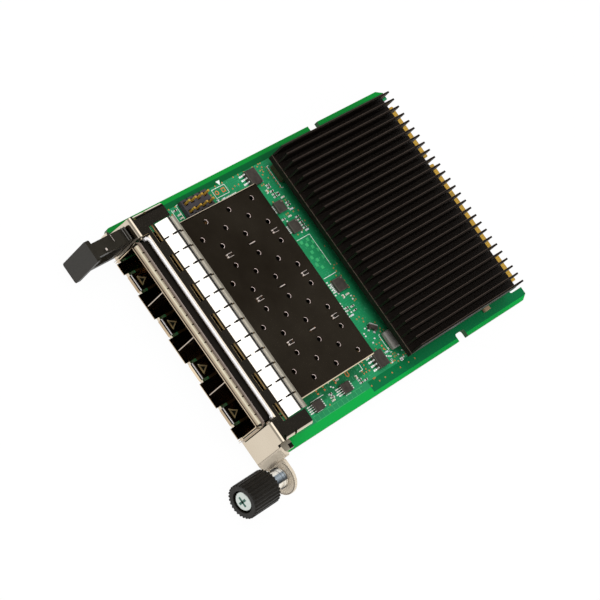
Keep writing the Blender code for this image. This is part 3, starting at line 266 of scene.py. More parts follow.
def pick(piece, test):                             # into edit mode, with the faces that pass the test
    alone(piece)
    bpy.ops.object.mode_set(mode="EDIT")
    bpy.ops.mesh.select_mode(type="FACE")
    bpy.ops.mesh.select_all(action="DESELECT")
    mesh = bmesh.from_edit_mesh(piece.data)
    for face in mesh.faces:
        face.select_set(test(face.calc_center_median(), face.normal))
    bmesh.update_edit_mesh(piece.data)


def paintPicked(piece, slot):                      # gives the picked faces a slot, and leaves edit mode
    piece.active_material_index = slot
    bpy.ops.object.material_slot_assign()
    bpy.ops.object.mode_set(mode="OBJECT")


def reshaped(name, test, slide=0.0, size=(1, 1, 1), centre=(0, 0, 0)):    # only the picked vertices
    alone(bpy.data.objects[name])
    bpy.ops.object.mode_set(mode="EDIT")
    bpy.ops.mesh.select_mode(type="VERT")
    bpy.ops.mesh.select_all(action="DESELECT")
    mesh = bmesh.from_edit_mesh(bpy.data.objects[name].data)
    for vert in mesh.verts:
        vert.select_set(test(vert.co))
    bmesh.update_edit_mesh(bpy.data.objects[name].data)
    bpy.ops.transform.translate(value=(0, slide * mm, 0))
    bpy.ops.transform.resize(value=size, center_override=centre)
    bpy.ops.object.mode_set(mode="OBJECT")


def joined(pieces, name):
    bpy.ops.object.select_all(action="DESELECT")
    for piece in pieces:
        piece.select_set(True)
    bpy.context.view_layer.objects.active = pieces[0]
    if len(pieces) > 1:
        bpy.ops.object.join()
    pieces[0].name = name
    return pieces[0]


def scatter(model, name, places, body="card"):     # copies of a model that stands at the origin
    copies = []
    for across, back, *more in places:
        turn, length, up = (more + [0.0, 1.0, 0.0][len(more):])[:3]
        piece = model.copy()
        piece.data = model.data.copy()
        bpy.context.scene.collection.objects.link(piece)
        stand = Matrix.Translation(spot(across, back, up)) @ Matrix.Rotation(math.radians(turn), 4, "Z")
        piece.data.transform(stand @ Matrix.Diagonal((length, 1.0, 1.0, 1.0)))
        copies.append(piece)
    bpy.data.objects.remove(model)
    made = joined(copies, name)
    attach(made, body)
    return made


# Finishes
def nickelFinish():
    f = Finish("nickelPlate")
    across, back, up = f.cardPlace()
    cloud = f.noise(90.0, 4.0)
    grain = f.noise(900.0, 2.0, (1.0, 0.15, 1.0))
    colour = f.mix(cloud, (0.61, 0.52, 0.40), (0.75, 0.66, 0.53))
    # painted shade: a thin dark line along the bend between the face and the ear's facet
    colour = f.mix(f.band(across, 36.16, 36.32) * (back < 3.4) * 0.6, colour, (0.20, 0.16, 0.12))
    low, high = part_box("screw_ferrule")
    reach = ((f.x - (low.x + high.x) / 2).maths("POWER", 2.0)
             + (f.z - (low.z + high.z) / 2).maths("POWER", 2.0))
    # painted shade: a dark ring on the ear around the screw's sleeve
    rim = f.band(reach.maths("SQRT") / mm, 4.72, 4.98) * (across > 39.5)
    colour = f.mix(rim * 0.75, colour, (0.06, 0.045, 0.035))
    satin = (across > 36.2).held()                 # brushed where the screw's ear is bent back
    return f.close(colour, 0.08 + 0.06 * grain + 0.36 * satin, 1.0 - 0.75 * satin)


def tinFinish():
    f = Finish("tinPlate")
    cloud = f.noise(32.0, 4.0, rough=0.6)
    haze = ((cloud - 0.5) * 3.0 + 0.5).held()
    colour = f.mix(haze, (0.44, 0.33, 0.22), (0.86, 0.70, 0.50))
    return f.close(colour, 0.07 + 0.06 * cloud, 1.0)


def dividerFinish():                               # as the cage, with a painted highlight on the tabs above it
    f = Finish("dividerPlate")
    across, back, up = f.cardPlace()
    cloud = f.noise(200.0, 3.0)
    # painted highlight: the tabs above the cage are coloured paler and less metallic
    tab = (up > 9.72) * f.band(back, 33.8, 36.4)
    colour = f.mix(tab, f.mix(cloud, (0.46, 0.38, 0.31), (0.62, 0.54, 0.46)), (0.72, 0.62, 0.56))
    return f.close(colour, 0.16 + 0.14 * cloud, 1.0 - 0.65 * tab)


# painted light along the collar: a painted highlight on its crown and painted shade either side
collarPaintedLight = ((0.0, (0.50, 0.42, 0.36)), (0.17, (0.27, 0.20, 0.14)), (0.34, (0.36, 0.29, 0.21)),
               (0.42, (0.62, 0.57, 0.44)), (0.51, (0.36, 0.30, 0.22)), (0.60, (0.30, 0.22, 0.17)),
               (0.90, (0.42, 0.34, 0.31)))         # from ahead of the mouth to 3.2 mm behind it
foldLines = (1.62, 1.96, 2.30)                     # folds of the collar behind its crown, drawn as painted shade lines


def collarFinish():
    f = Finish("collarSteel")
    across, back, up = f.cardPlace()
    plate = f.noise(420.0, 2.0, (1.0, 0.3, 1.0))
    cloud = f.noise(160.0, 3.0)
    above = (up > 9.4).held()
    colour = f.mix(above, (0.52, 0.45, 0.38), f.ramp((back + 0.8) / 4.0, *collarPaintedLight))
    # painted shade: dark lines along the folds
    foldShade = f.band(back, foldLines[0] - 0.06, foldLines[0] + 0.06)
    for line in foldLines[1:]:
        foldShade = foldShade.larger(f.band(back, line - 0.06, line + 0.06))
    colour = f.mix(foldShade * above * 0.6, colour, (0.10, 0.060, 0.060))
    colour = f.mix(above * 0.45 * cloud, colour, (0.20, 0.18, 0.12))
    return f.close(colour, 0.10 + 0.16 * plate, 1.0 - 0.5 * above * (back > 1.45))


def springFinish():
    f = Finish("springSteel")
    across, back, up = f.cardPlace()
    cloud = f.noise(40.0, 2.0)
    fall = f.band(back, 14.5, 19.5)                # the duller run down to the cage, darkened with painted shade
    colour = f.mix(cloud, (0.84, 0.80, 0.73), (0.90, 0.87, 0.82))
    colour = f.mix(fall, colour, f.mix(cloud, (0.50, 0.46, 0.38), (0.62, 0.57, 0.47)))
    # painted shade: a dark line where the fall begins, and the rear end coloured darker
    colour = f.mix(f.band(back, 14.5, 15.0) * 0.65, colour, (0.13, 0.12, 0.10))
    colour = f.mix((back > 17.2) * 0.5, colour, (0.22, 0.19, 0.14))
    return f.close(colour, 0.12 + 0.06 * cloud, 1.0 - 0.5 * fall)


def steelFinish():
    f = Finish("zincSteel")
    cloud = f.noise(200.0, 3.0)
    colour = f.mix(cloud, (0.58, 0.64, 0.60), (0.72, 0.76, 0.72))
    return f.close(colour, 0.22 + 0.12 * cloud, 1.0)


def chromeFinish():
    f = Finish("brightSteel")
    cloud = f.noise(300.0, 2.0)
    return f.close(f.mix(cloud, (0.70, 0.72, 0.74), (0.80, 0.82, 0.84)), 0.06 + 0.06 * cloud, 1.0)


# Painted reflections: light and dark bands from one side of the sleeve to the other
sleevePaintedReflections = ((0.0, (0.05, 0.045, 0.04)), (0.11, (0.03, 0.028, 0.025)), (0.16, (0.95, 0.92, 0.86)),
               (0.27, (0.95, 0.94, 0.90)), (0.33, (0.22, 0.27, 0.32)), (0.44, (0.42, 0.49, 0.55)),
               (0.58, (0.10, 0.12, 0.14)), (0.66, (0.03, 0.03, 0.03)), (0.70, (0.95, 0.90, 0.80)),
               (0.84, (0.80, 0.74, 0.64)), (0.90, (0.05, 0.045, 0.04)))


def sleeveFinish():                                # sleeve with painted reflections across it, streaked along its length
    f = Finish("paintedReflectionSleeve")
    low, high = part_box("screw_ferrule")
    middle = (low + high) / 2
    across, back, up = f.cardPlace()
    side = (f.x - middle.x) * 0.991 - (f.z - middle.z) * 0.131
    streak = f.noise(300.0, 2.0, (1.0, 0.1, 1.0))
    share = side / (high.x - low.x) + 0.5 + 0.04 * (streak - 0.5)
    rings = f.band(back, 3.55, 3.72).larger(f.band(back, 2.75, 2.9))
    colour = f.mix(rings * 0.8, f.ramp(share, *sleevePaintedReflections), (0.05, 0.05, 0.05))
    return f.close(colour, 0.22, 0.35)


finSizes = {"pitch": 2.6, "half": 0.275, "litEdge": 0.11, "top": 11.40}


def anodiseFinish():
    f = Finish("blackAnodise")
    across, back, up = f.cardPlace()
    cloud = f.noise(150.0, 4.0)
    grain = f.noise(1200.0, 2.0, (1.0, 0.1, 1.0))
    inFin = (across + finSizes["pitch"] / 2) % finSizes["pitch"] - finSizes["pitch"] / 2
    edge = f.band(inFin * -1.0, finSizes["half"] - finSizes["litEdge"], finSizes["half"] + 0.05)
    front = f.band(up, 5.95, 6.2) * (back < 63.52)
    lit = ((up > finSizes["top"]) * edge * (0.25 + 0.45 * cloud)).larger(front * 0.8)
    body = f.mix(cloud, (0.0060, 0.0035, 0.0020), (0.0092, 0.0060, 0.0038))
    colour = f.mix(lit, body, (0.13, 0.095, 0.075))
    return f.close(colour, 0.42 + 0.15 * grain, 0.0, f.bump(grain, 0.10, 0.00004), Specular_IOR_Level=0.25)


def plasticFinish(name, dark, pale, roughness, shine=0.4):
    f = Finish(name)
    cloud = f.noise(250.0, 3.0)
    grain = f.noise(2500.0, 2.0)
    return f.close(f.mix(cloud, dark, pale), roughness + 0.12 * cloud, 0.0, f.bump(grain, 0.25, 0.00004),
                   Specular_IOR_Level=shine)


def metalFinish(name, dark, pale, low, high, metallic=1.0):
    f = Finish(name)
    cloud = f.noise(300.0, 3.0)
    return f.close(f.mix(cloud, dark, pale), low + (high - low) * cloud, metallic)


boardColours = {"field": ((0.010, 0.190, 0.068), (0.020, 0.255, 0.098)), "trace": (0.012, 0.320, 0.135),
                "leftEdge": (0.0, 0.235, 0.028), "leftBand": (0.0, 0.100, 0.024),
                "rightEdge": (0.0, 0.330, 0.050), "rightBand": (0.0, 0.135, 0.040),
                "side": (0.010, 0.075, 0.018), "laminate": (0.50, 0.42, 0.22), "tongue": (0.30, 0.19, 0.035),
                "shadow": (0.0, 0.050, 0.012), "speck": (0.10, 0.42, 0.24)}
# Limits across and back; the bands run beside the edges, and the right one starts at the step
boardZones = {"inner": (-35.0, 33.6), "routed": (18.0, 116.0), "left": (-36.7, -35.0), "right": (33.6, 36.9),
              "frontEdge": 35.4, "step": 49.3, "tongue": (32.4, 116.6), "bare": (33.5, 115.0),
              "shadow": ((28.2, 31.4), (18.5, 57.0))}


def maskFinish():
    f = Finish("solderMask")
    c, zone = boardColours, boardZones
    across, back, up = f.cardPlace()
    cloud = f.noise(40.0, 4.0)
    field = f.mix(cloud, *c["field"])
    patch = f.noise(140.0, 1.0) > 0.52             # traces run lengthwise here, crosswise elsewhere
    along = f.band(across % 0.62, 0.0, 0.20) * patch
    over = f.band(back % 0.70, 0.0, 0.22) * (1.0 - patch) * (f.noise(190.0, 1.0) > 0.50)
    traces = (along + over).held() * f.band(across, *zone["inner"]) * f.band(back, *zone["routed"])
    colour = f.mix(traces * 0.55, field, c["trace"])
    left = across < zone["left"][0]
    leftBand = f.band(across, *zone["left"])
    rear = back > zone["step"]
    right = ((across > zone["right"][1]) + (across > zone["frontEdge"]) * (1.0 - rear)).held()
    rightBand = f.band(across, *zone["right"]) * rear
    for mask, tone in ((left, "leftEdge"), (leftBand, "leftBand"),
                       (right, "rightEdge"), (rightBand, "rightBand")):
        colour = f.mix(mask, colour, c[tone])
    tongue = (back > zone["tongue"][1]) * (across.size() < zone["tongue"][0])
    colour = f.mix(tongue, colour, c["tongue"])
    side = f.band(up, -boardThick + 0.03, -0.03)
    bare = (across.size() < zone["bare"][0]) * (back > zone["bare"][1])
    colour = f.mix(side, colour, f.mix(bare, c["side"], c["laminate"]))
    shadowed = f.band(across, *zone["shadow"][0]) * f.band(back, *zone["shadow"][1])    # beside the cage
    colour = f.mix(shadowed * 0.45, colour, c["shadow"])
    speck = (f.noise(1500.0, 1.0) > 0.66) * f.band(across, *zone["inner"]) * f.band(back, *zone["routed"])
    speck = speck * (up > -0.1)
    colour = f.mix(speck * 0.35, colour, c["speck"])
    height = traces + 0.3 * cloud
    return f.close(colour, 0.30 + 0.10 * cloud, 0.0, f.bump(height, 0.15, 0.00003), Specular_IOR_Level=0.30)


def leadedFinish(node, turn, bodyHalf):            # moulded body with bright leads beyond it
    f = Finish(node + "Mould")
    low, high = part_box(node)
    middle = (low + high) / 2
    side, forth = f.x - middle.x, f.y - middle.y
    lean = math.radians(turn)
    forth = forth * math.cos(lean) - side * math.sin(lean)
    lead = forth.size() > bodyHalf * mm
    # painted highlight along the edges of the body
    paintedEdgeHighlight = f.band(forth.size(), (bodyHalf - 0.3) * mm, bodyHalf * mm)
    cloud = f.noise(700.0, 3.0)
    colour = f.mix(cloud, (0.020, 0.016, 0.014), (0.066, 0.055, 0.046))
    colour = f.mix(paintedEdgeHighlight * 0.4, colour, (0.11, 0.095, 0.08))
    colour = f.mix(lead, colour, (0.80, 0.80, 0.78))
    return f.close(colour, 0.45 + 0.15 * cloud - 0.2 * lead, 0.6 * lead, Specular_IOR_Level=0.35)


def chipFinish(node):                              # matt top with a painted highlight along its edges and a pin mark
    f = Finish(node + "Mould")
    low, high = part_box(node)
    middle, half = (low + high) / 2, (high - low) / 2
    side, forth = (f.x - middle.x).size(), (f.y - middle.y).size()
    # painted highlight along the edges of the top
    paintedEdgeHighlight = (side > half.x - 0.22 * mm).larger(forth > half.y - 0.22 * mm)
    mark = (f.band(f.x, low.x + 0.35 * mm, low.x + 0.75 * mm)
            * f.band(f.y, high.y - 0.75 * mm, high.y - 0.35 * mm))
    cloud = f.noise(900.0, 3.0)
    colour = f.mix(cloud, (0.022, 0.019, 0.016), (0.070, 0.060, 0.050))
    colour = f.mix(paintedEdgeHighlight * 0.5, colour, (0.11, 0.095, 0.08))
    colour = f.mix(mark, colour, (0.20, 0.18, 0.15))
    return f.close(colour, 0.45 + 0.15 * cloud, 0.0, Specular_IOR_Level=0.35)


finishes = {
    "solder_mask": maskFinish(),
    "tin_plate": tinFinish(),
    "nickel_plate": nickelFinish(),
    "spring_steel": springFinish(),
    "steel": steelFinish(),
    "bright_steel": chromeFinish(),
    "black_anodise": anodiseFinish(),
    "black_plastic": plasticFinish("blackPlastic", (0.0075, 0.0065, 0.005), (0.015, 0.013, 0.010),
                                   0.42, 0.3),
    "epoxy": plasticFinish("epoxyMould", (0.030, 0.025, 0.022), (0.060, 0.052, 0.046), 0.5),
    "substrate": plasticFinish("chipSubstrate", (0.02, 0.08, 0.04), (0.03, 0.11, 0.06), 0.5),
    "thermal_pad": plasticFinish("thermalPad", (0.35, 0.35, 0.38), (0.42, 0.42, 0.45), 0.8),
    "ceramic": plasticFinish("brownCeramic", (0.26, 0.17, 0.10), (0.34, 0.24, 0.15), 0.6),
    "ferrite": plasticFinish("ferriteBody", (0.20, 0.19, 0.17), (0.30, 0.28, 0.26), 0.4),
    "gold": metalFinish("goldPlate", (0.52, 0.30, 0.035), (0.72, 0.44, 0.07), 0.25, 0.40, 0.3),
}
solder = metalFinish("solderJoint", (0.72, 0.72, 0.70), (0.86, 0.86, 0.84), 0.30, 0.45, 0.1)
capBody = plasticFinish("capacitorBody", (0.035, 0.020, 0.012), (0.075, 0.045, 0.028), 0.5)
paleBody = plasticFinish("paleCeramic", (0.50, 0.42, 0.30), (0.66, 0.58, 0.44), 0.5)
resistorBody = plasticFinish("resistorBody", (0.55, 0.60, 0.70), (0.72, 0.76, 0.84), 0.45)
ink = plasticFinish("whiteInk", (0.70, 0.76, 0.72), (0.84, 0.88, 0.84), 0.6, 0.2)
copper = metalFinish("bareCopper", (0.56, 0.15, 0.045), (0.74, 0.26, 0.09), 0.30, 0.45, 0.1)
brass = metalFinish("brassClip", (0.40, 0.30, 0.14), (0.60, 0.47, 0.26), 0.30, 0.45, 0.5)
# painted highlight: a pale, barely metallic copy of the plate
paintedHighlightPlate = metalFinish("paintedHighlightPlate", (0.80, 0.77, 0.77), (0.92, 0.90, 0.90), 0.22, 0.32, 0.25)
satinPlate = metalFinish("satinPlate", (0.24, 0.21, 0.16), (0.52, 0.47, 0.38), 0.25, 0.40, 0.4)
tabPlastic = plasticFinish("tabPlastic", (0.0125, 0.0105, 0.0065), (0.022, 0.0185, 0.0125), 0.40, 0.36)
# painted highlight: a paler copy of the tab plastic for its ribs
paintedHighlightPlastic = plasticFinish("ribHighlightPlastic", (0.05, 0.046, 0.040), (0.10, 0.094, 0.085), 0.4)
headerPlastic = plasticFinish("headerPlastic", (0.022, 0.020, 0.024), (0.075, 0.068, 0.075), 0.55, 0.3)
earSteel = metalFinish("litSteel", (0.60, 0.50, 0.45), (0.82, 0.74, 0.68), 0.25, 0.40, 0.35)
# painted shade: a dark film for the board inside the port mouths
foil = metalFinish("paintedShadeFilm", (0.030, 0.016, 0.006), (0.075, 0.045, 0.014), 0.35, 0.50, 0.3)
oliveFerrite = plasticFinish("oliveFerrite", (0.030, 0.030, 0.012), (0.070, 0.062, 0.030), 0.4)
# painted reflection: a teal tint for the screw's cross recess
recessReflection = plasticFinish("paintedRecessReflection", (0.010, 0.060, 0.040), (0.050, 0.190, 0.140), 0.4)
tented = plasticFinish("tentedPad", (0.030, 0.34, 0.12), (0.06, 0.44, 0.16), 0.4)
# painted shade: near-black for the insides of bores and openings
boreShade = plasticFinish("paintedBoreShade", (0.004, 0.006, 0.004), (0.010, 0.012, 0.008), 0.7, 0.1)
# painted shade: near-black for dark pieces set where shade falls
shade = plasticFinish("paintedShadeBlack", (0.006, 0.005, 0.004), (0.012, 0.010, 0.008), 0.9, 0.1)

slotOf = {row["node"]: row["material_slot"] for row in frame["record"]["subparts"]}
bodyOf = {node: body for body, held in frame["record"]["behaviour"]["bodies"].items() for node in held}
leaded = {"regulator_left": (0.0, 1.98), "regulator_right": (0.0, 1.98), "switch_chip": (0.0, 1.73),
          "flash_chip": (0.0, 1.73), "transistor": (48.0, 0.72)}
for name, obj in nodes.items():
    dress(obj, finishes[slotOf[name]])
print("finishes on the solids")

curved = {"bracket": ("faceplate", 0.0), "cage_shell": ("portCage", 0.0),
          "cage_collar": ("cageSprings", 0.0), "finger_strip": ("earthFingers", 0.0),
          "pull_tab": ("pullTab", 0.18), "thumbscrew_knob": ("screwKnob", 0.0),
          "thumbscrew": ("captiveScrew", 0.05), "screw_ferrule": ("screwFerrule", 0.05),
          "screw_spring": ("screwSpring", 0.0)}
chips = {"regulator_left": "leftRegulator", "regulator_right": "rightRegulator",
         "switch_chip": "switchChip", "flash_chip": "flashChip", "transistor": "switchTransistor",
         "clock_chip": "clockChip", "retimer_chip": "retimerChip", "monitor_chip": "monitorChip"}
for node, name in chips.items():
    mould = leadedFinish(node, *leaded[node]) if node in leaded else chipFinish(node)
    dress(smoothCopy(node, name, 30.0, 0.05, 1), mould)
for node, (name, edge) in curved.items():
    piece = smoothCopy(node, name, 22.0 if node == "bracket" else 35.0, edge)
    dress(piece, finishes[slotOf[node]], bodyOf[node])
dress(bpy.data.objects["cageSprings"], collarFinish(), "card")
dress(bpy.data.objects["screwFerrule"], sleeveFinish(), "card")
dress(bpy.data.objects["pullTab"], tabPlastic, "card")
dress(nodes["header_housing"], headerPlastic)
dress(nodes["inductor_left"], oliveFerrite)
for n in (1, 2, 3):
    dress(nodes[f"cage_divider_{n}"], dividerFinish())

wingLevel = spot(0.0, 0.0, 0.5).z                  # the wing on the tab's side ends just above the board
reshaped("faceplate", lambda at: at.x < -36.0 * mm and at.y < spot(0.0, 7.0).y and at.z > wingLevel,
         size=(1, 1, 0), centre=(0, 0, wingLevel))
knobLow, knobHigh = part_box("thumbscrew_knob")
fallStart = spot(0.0, 13.3)                        # the crown lies further back, and the fall is shorter
reshaped("earthFingers", lambda at: at.y > spot(0.0, 12.4).y, slide=0.9)
fallStart.y += 0.9 * mm
reshaped("earthFingers", lambda at: at.y > fallStart.y, size=(1, 0.69, 1), centre=fallStart)
reshaped("screwKnob", lambda at: at.y > knobHigh.y - 1.5 * mm, slide=-1.2)
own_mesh(bpy.data.objects["screwSpring"])
print("curved pieces smoothed")


# Small parts on the board
chipSizes = {"width": 0.50, "length": 1.0, "height": 0.42, "cap": 0.20, "swell": 1.06,
             "pad": (0.54, 0.40, 0.06)}


def chipModel(name, bodyFinish):                   # ceramic body along the card, with two soldered end caps
    s = chipSizes
    piece = block(name, (0, 0, (s["height"] / 2 + 0.05) * mm), (s["width"], s["length"], s["height"]))
    piece.data.materials.append(bodyFinish)
    piece.data.materials.append(solder)
    alone(piece)
    bpy.ops.object.mode_set(mode="EDIT")
    for side in (-1, 1):
        bpy.ops.mesh.select_all(action="SELECT")
        bpy.ops.mesh.bisect(plane_co=(0, side * (s["length"] / 2 - s["cap"]) * mm, 0), plane_no=(0, 1, 0))
    bpy.ops.object.mode_set(mode="OBJECT")
    pick(piece, lambda at, normal: abs(at.y) > (s["length"] / 2 - s["cap"]) * mm)
    paintPicked(piece, 1)
    pick(piece, lambda at, normal: abs(at.y) > (s["length"] / 2 - 0.01) * mm)
    bpy.ops.transform.resize(value=(s["swell"], 1.0, s["swell"]))
    bpy.ops.object.mode_set(mode="OBJECT")
    edged(piece, 0.05, 1)
    pads = []
    for side in (-1, 1):
        pad = block("pad", (0, side * 0.42 * mm, 0.02 * mm), s["pad"])
        pad.data.materials.append(solder)
        pads.append(pad)
    return joined([piece, *pads], name)


def padModel(name, size, finish):
    piece = block(name, (0, 0, 0.01 * mm), (*size, 0.06))
    piece.data.materials.append(finish)
    return edged(piece, 0.02, 1)


def ringModel(name, radius, bore, finish, height=0.05):    # plated ring with painted shade in its bore
    bpy.ops.object.select_all(action="DESELECT")
    bpy.ops.mesh.primitive_cylinder_add(vertices=10, radius=radius * mm, depth=height * mm,
                                        location=(0, 0, 0))
    piece = bpy.context.active_object
    piece.data.materials.append(finish)
    piece.data.materials.append(boreShade)
    pick(piece, lambda at, normal: normal.z > 0.9)
    bpy.ops.mesh.inset(thickness=(radius - bore) * mm)
    bpy.ops.transform.translate(value=(0, 0, -0.6 * height * mm))
    paintPicked(piece, 1)
    piece.name = name
    return piece


darkChips = ([(x, 60.9) for x in (-28.2, -27.4, -26.1, -25.1, -24.2, 13.45, 14.75)]
             + [(x, 63.3) for x in (-21.25, -20.4, -16.3, -15.35, -14.4, -13.55, -12.6)]
             + [(13.0, 58.7), (13.9, 58.7), (-17.4, 58.4), (31.9, 47.3), (32.8, 47.3), (32.8, 49.2),
                (30.9, 35.5), (31.9, 35.5), (-33.8, 27.4), (-24.6, 62.4, 90.0)])
paleChips = [(-23.15, 63.1), (-17.4, 61.1), (-26.6, 59.3, 90.0), (9.8, 62.0), (9.8, 60.2, 90.0), (28.6, 40.5),
             (32.8, 35.3), (30.8, 46.8, 90.0), (-32.2, 27.9), (-31.1, 28.0)]
resistors = [(-19.0, 63.2), (-11.7, 63.6), (15.6, 58.8), (29.4, 61.5), (-30.5, 44.5), (-30.5, 42.3, 90.0)]
whitePads = ([(-19.6, 62.6), (-16.5, 59.3), (-11.8, 61.5), (10.7, 62.9), (11.7, 62.8), (14.75, 59.4),
              (30.7, 61.5), (32.0, 61.5), (31.2, 66.9), (31.7, 64.8), (33.4, 64.8), (31.0, 62.1),
              (31.9, 61.6), (32.7, 61.2), (30.3, 60.8), (28.8, 62.9), (29.3, 37.3), (29.8, 37.9),
              (32.1, 36.2), (32.2, 37.5), (31.3, 35.8), (25.2, 59.5), (24.4, 60.9), (22.6, 58.6),
              (21.8, 58.6), (20.6, 60.0), (20.6, 61.2), (33.0, 66.0)]
             + [(5.0 + 0.57 * n, 59.5) for n in range(7)] + [(4.2 + 0.86 * n, 58.2) for n in range(6)]
             + [(11.1 + 0.9 * n, 57.7) for n in range(6)] + [(-30.5, 46.0 + 0.7 * n) for n in range(6)])
footprints = {(0.62, 1.10): [("regulator_left", 1.27, 4), ("regulator_right", 1.27, 4)],
              (0.36, 1.00): [("switch_chip", 0.65, 4), ("flash_chip", 0.65, 4), ("clock_chip", 0.5, 5),
                             ("retimer_chip", 0.5, 5), ("monitor_chip", 0.5, 6)]}
copperPads = [(27.2, 61.5), (28.2, 61.5), (29.1, 39.6), (29.1, 34.9), (29.1, 32.1)]


def buildSmallParts():
    scatter(chipModel("capacitor", capBody), "smallCapacitors", darkChips)
    scatter(chipModel("ceramic", paleBody), "paleCapacitors", paleChips)
    scatter(chipModel("resistor", resistorBody), "smallResistors", resistors)
    scatter(padModel("pad", (0.42, 0.55), solder), "solderPads", whitePads)
    for size, chips in footprints.items():
        pads = []
        for node, pitch, count in chips:
            low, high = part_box(node)
            middle = (low + high) / 2 / mm
            for back in (low.y / mm - portMouth - 0.15, high.y / mm - portMouth + 0.15):
                pads += [(middle.x + (n - (count - 1) / 2) * pitch, back) for n in range(count)]
        scatter(padModel("land", size, solder), "chipLands" + str(len(pads)), pads)
    scatter(padModel("bare", (0.52, 0.62), copper), "copperPads", copperPads)
    scatter(padModel("land", (0.95, 1.15), solder), "broadPads", [(31.2, 68.2), (33.3, 64.9), (33.3, 68.0)])


viaPlaces = [
    (-34.8, 63.5), (-34.8, 62.7), (-33.6, 63.2), (-32.9, 62.7), (-32.2, 62.7), (-30.0, 62.9),
    (-34.3, 61.9), (-32.9, 61.9), (-31.5, 61.8), (-34.75, 60.2), (-28.9, 60.0), (-28.9, 59.2),
    (-34.7, 56.6), (-34.75, 54.1), (-34.75, 52.1), (-32.25, 52.2), (-32.3, 50.7), (-31.9, 49.5),
    (-34.8, 47.5), (-34.8, 44.6), (-33.1, 41.5), (-32.4, 41.4), (-34.8, 28.4), (-33.9, 28.1),
    (-33.2, 25.9), (-34.9, 25.9), (-26.7, 60.0), (-23.2, 59.1), (-22.2, 62.2), (-22.1, 63.4),
    (-18.4, 61.3), (-18.3, 60.5), (-18.1, 63.4), (-18.9, 64.5), (-17.7, 65.2), (-14.3, 65.0),
    (-12.6, 65.0), (-11.7, 59.7), (-12.3, 62.1), (-5.2, 65.6), (0.9, 65.5), (0.8, 64.4), (1.5, 63.5),
    (2.6, 63.7), (3.7, 62.7), (4.4, 64.2), (6.1, 64.2), (7.7, 64.1), (8.4, 64.1), (4.4, 59.6),
    (11.2, 63.7), (12.2, 63.7), (12.4, 62.9), (17.0, 60.7), (17.9, 61.5), (17.2, 59.5), (18.8, 61.1),
    (20.6, 64.5), (22.8, 64.8), (23.6, 64.2), (23.6, 65.4), (25.6, 62.5), (26.1, 61.4), (26.1, 60.2),
    (28.7, 61.8), (27.15, 58.9), (30.8, 63.1), (31.7, 63.1), (30.8, 64.0), (31.7, 63.9), (33.3, 63.3),
    (32.6, 62.4), (32.6, 61.7), (32.7, 60.6), (32.6, 66.2), (32.6, 67.2), (33.7, 52.5), (33.7, 51.9),
    (29.1, 51.8), (30.3, 51.6), (31.2, 52.3), (31.1, 51.1), (31.2, 50.1), (30.3, 49.9), (33.3, 33.4)]
viaRow = [(x, 64.6) for x in (-32.8, -31.8, -31.0, -30.3, -29.3, -28.2, -27.3, -26.1)]
viaColumn = [(35.1, y) for y in (69.1, 66.3, 62.6, 58.9, 55.8, 53.3, 49.8)]
tentedPlaces = ([(x, 62.9) for x in (-7.9, -5.3, -2.8)] + [(x, 61.7) for x in (-9.2, -6.7)]
                + [(x, 60.3) for x in (-7.9, -5.4, -2.8, -0.3)] + [(x, 59.0) for x in (-9.2, -4.1, -1.6)])


def buildVias():
    scatter(ringModel("via", 0.24, 0.09, copper), "platedVias", viaPlaces + viaRow + viaColumn)
    scatter(padModel("tented", (1.0, 1.0), tented), "testPads", tentedPlaces)
    scatter(ringModel("testHole", 0.70, 0.36, copper), "copperRings", [(-32.9, 43.8), (28.9, 44.8)])
    square = block("squareRing", (0, 0, 0), (1.4, 1.4, 0.05))
    square.data.materials.append(copper)
    square.data.materials.append(boreShade)
    pick(square, lambda at, normal: normal.z > 0.9)
    bpy.ops.mesh.inset(thickness=0.36 * mm)
    bpy.ops.transform.translate(value=(0, 0, -0.03 * mm))
    paintPicked(square, 1)
    scatter(square, "firstPinRing", [(-32.9, 46.4)])


inkLines = [
    (-10.3, 63.45, 0.3, 63.45), (-10.3, 58.0, -10.3, 63.45), (2.8, 58.0, 2.8, 63.4),
    (-34.2, 42.6, -31.5, 42.6), (-34.2, 47.8, -31.5, 47.8), (-34.2, 42.6, -34.2, 47.8),
    (-31.5, 42.6, -31.5, 47.8), (-33.1, 64.95, -25.6, 64.95), (-33.1, 64.95, -33.1, 65.7),
    (-25.6, 64.95, -25.6, 65.7), (24.2, 62.8, 30.1, 62.8), (24.2, 62.8, 24.2, 63.4),
    (30.1, 62.8, 30.1, 63.4), (28.2, 50.5, 30.0, 50.5), (30.0, 49.0, 30.0, 50.5),
    (-35.0, 28.8, -30.5, 28.8), (-35.0, 28.8, -35.0, 30.4), (-34.4, 26.5, -30.6, 26.5),
    (30.0, 28.0, 30.0, 33.5), (33.6, 40.0, 33.6, 42.2), (33.3, 28.3, 33.3, 30.5)]
ladder = {"rails": (33.7, 35.35), "start": 26.0, "end": 47.0, "rung": 1.95}


def stroke(x1, y1, x2, y2):                        # place, turn and length of a line between two points
    lean = math.degrees(math.atan2(y2 - y1, x2 - x1))
    return (x1 + x2) / 2, (y1 + y2) / 2, lean, math.hypot(x2 - x1, y2 - y1)


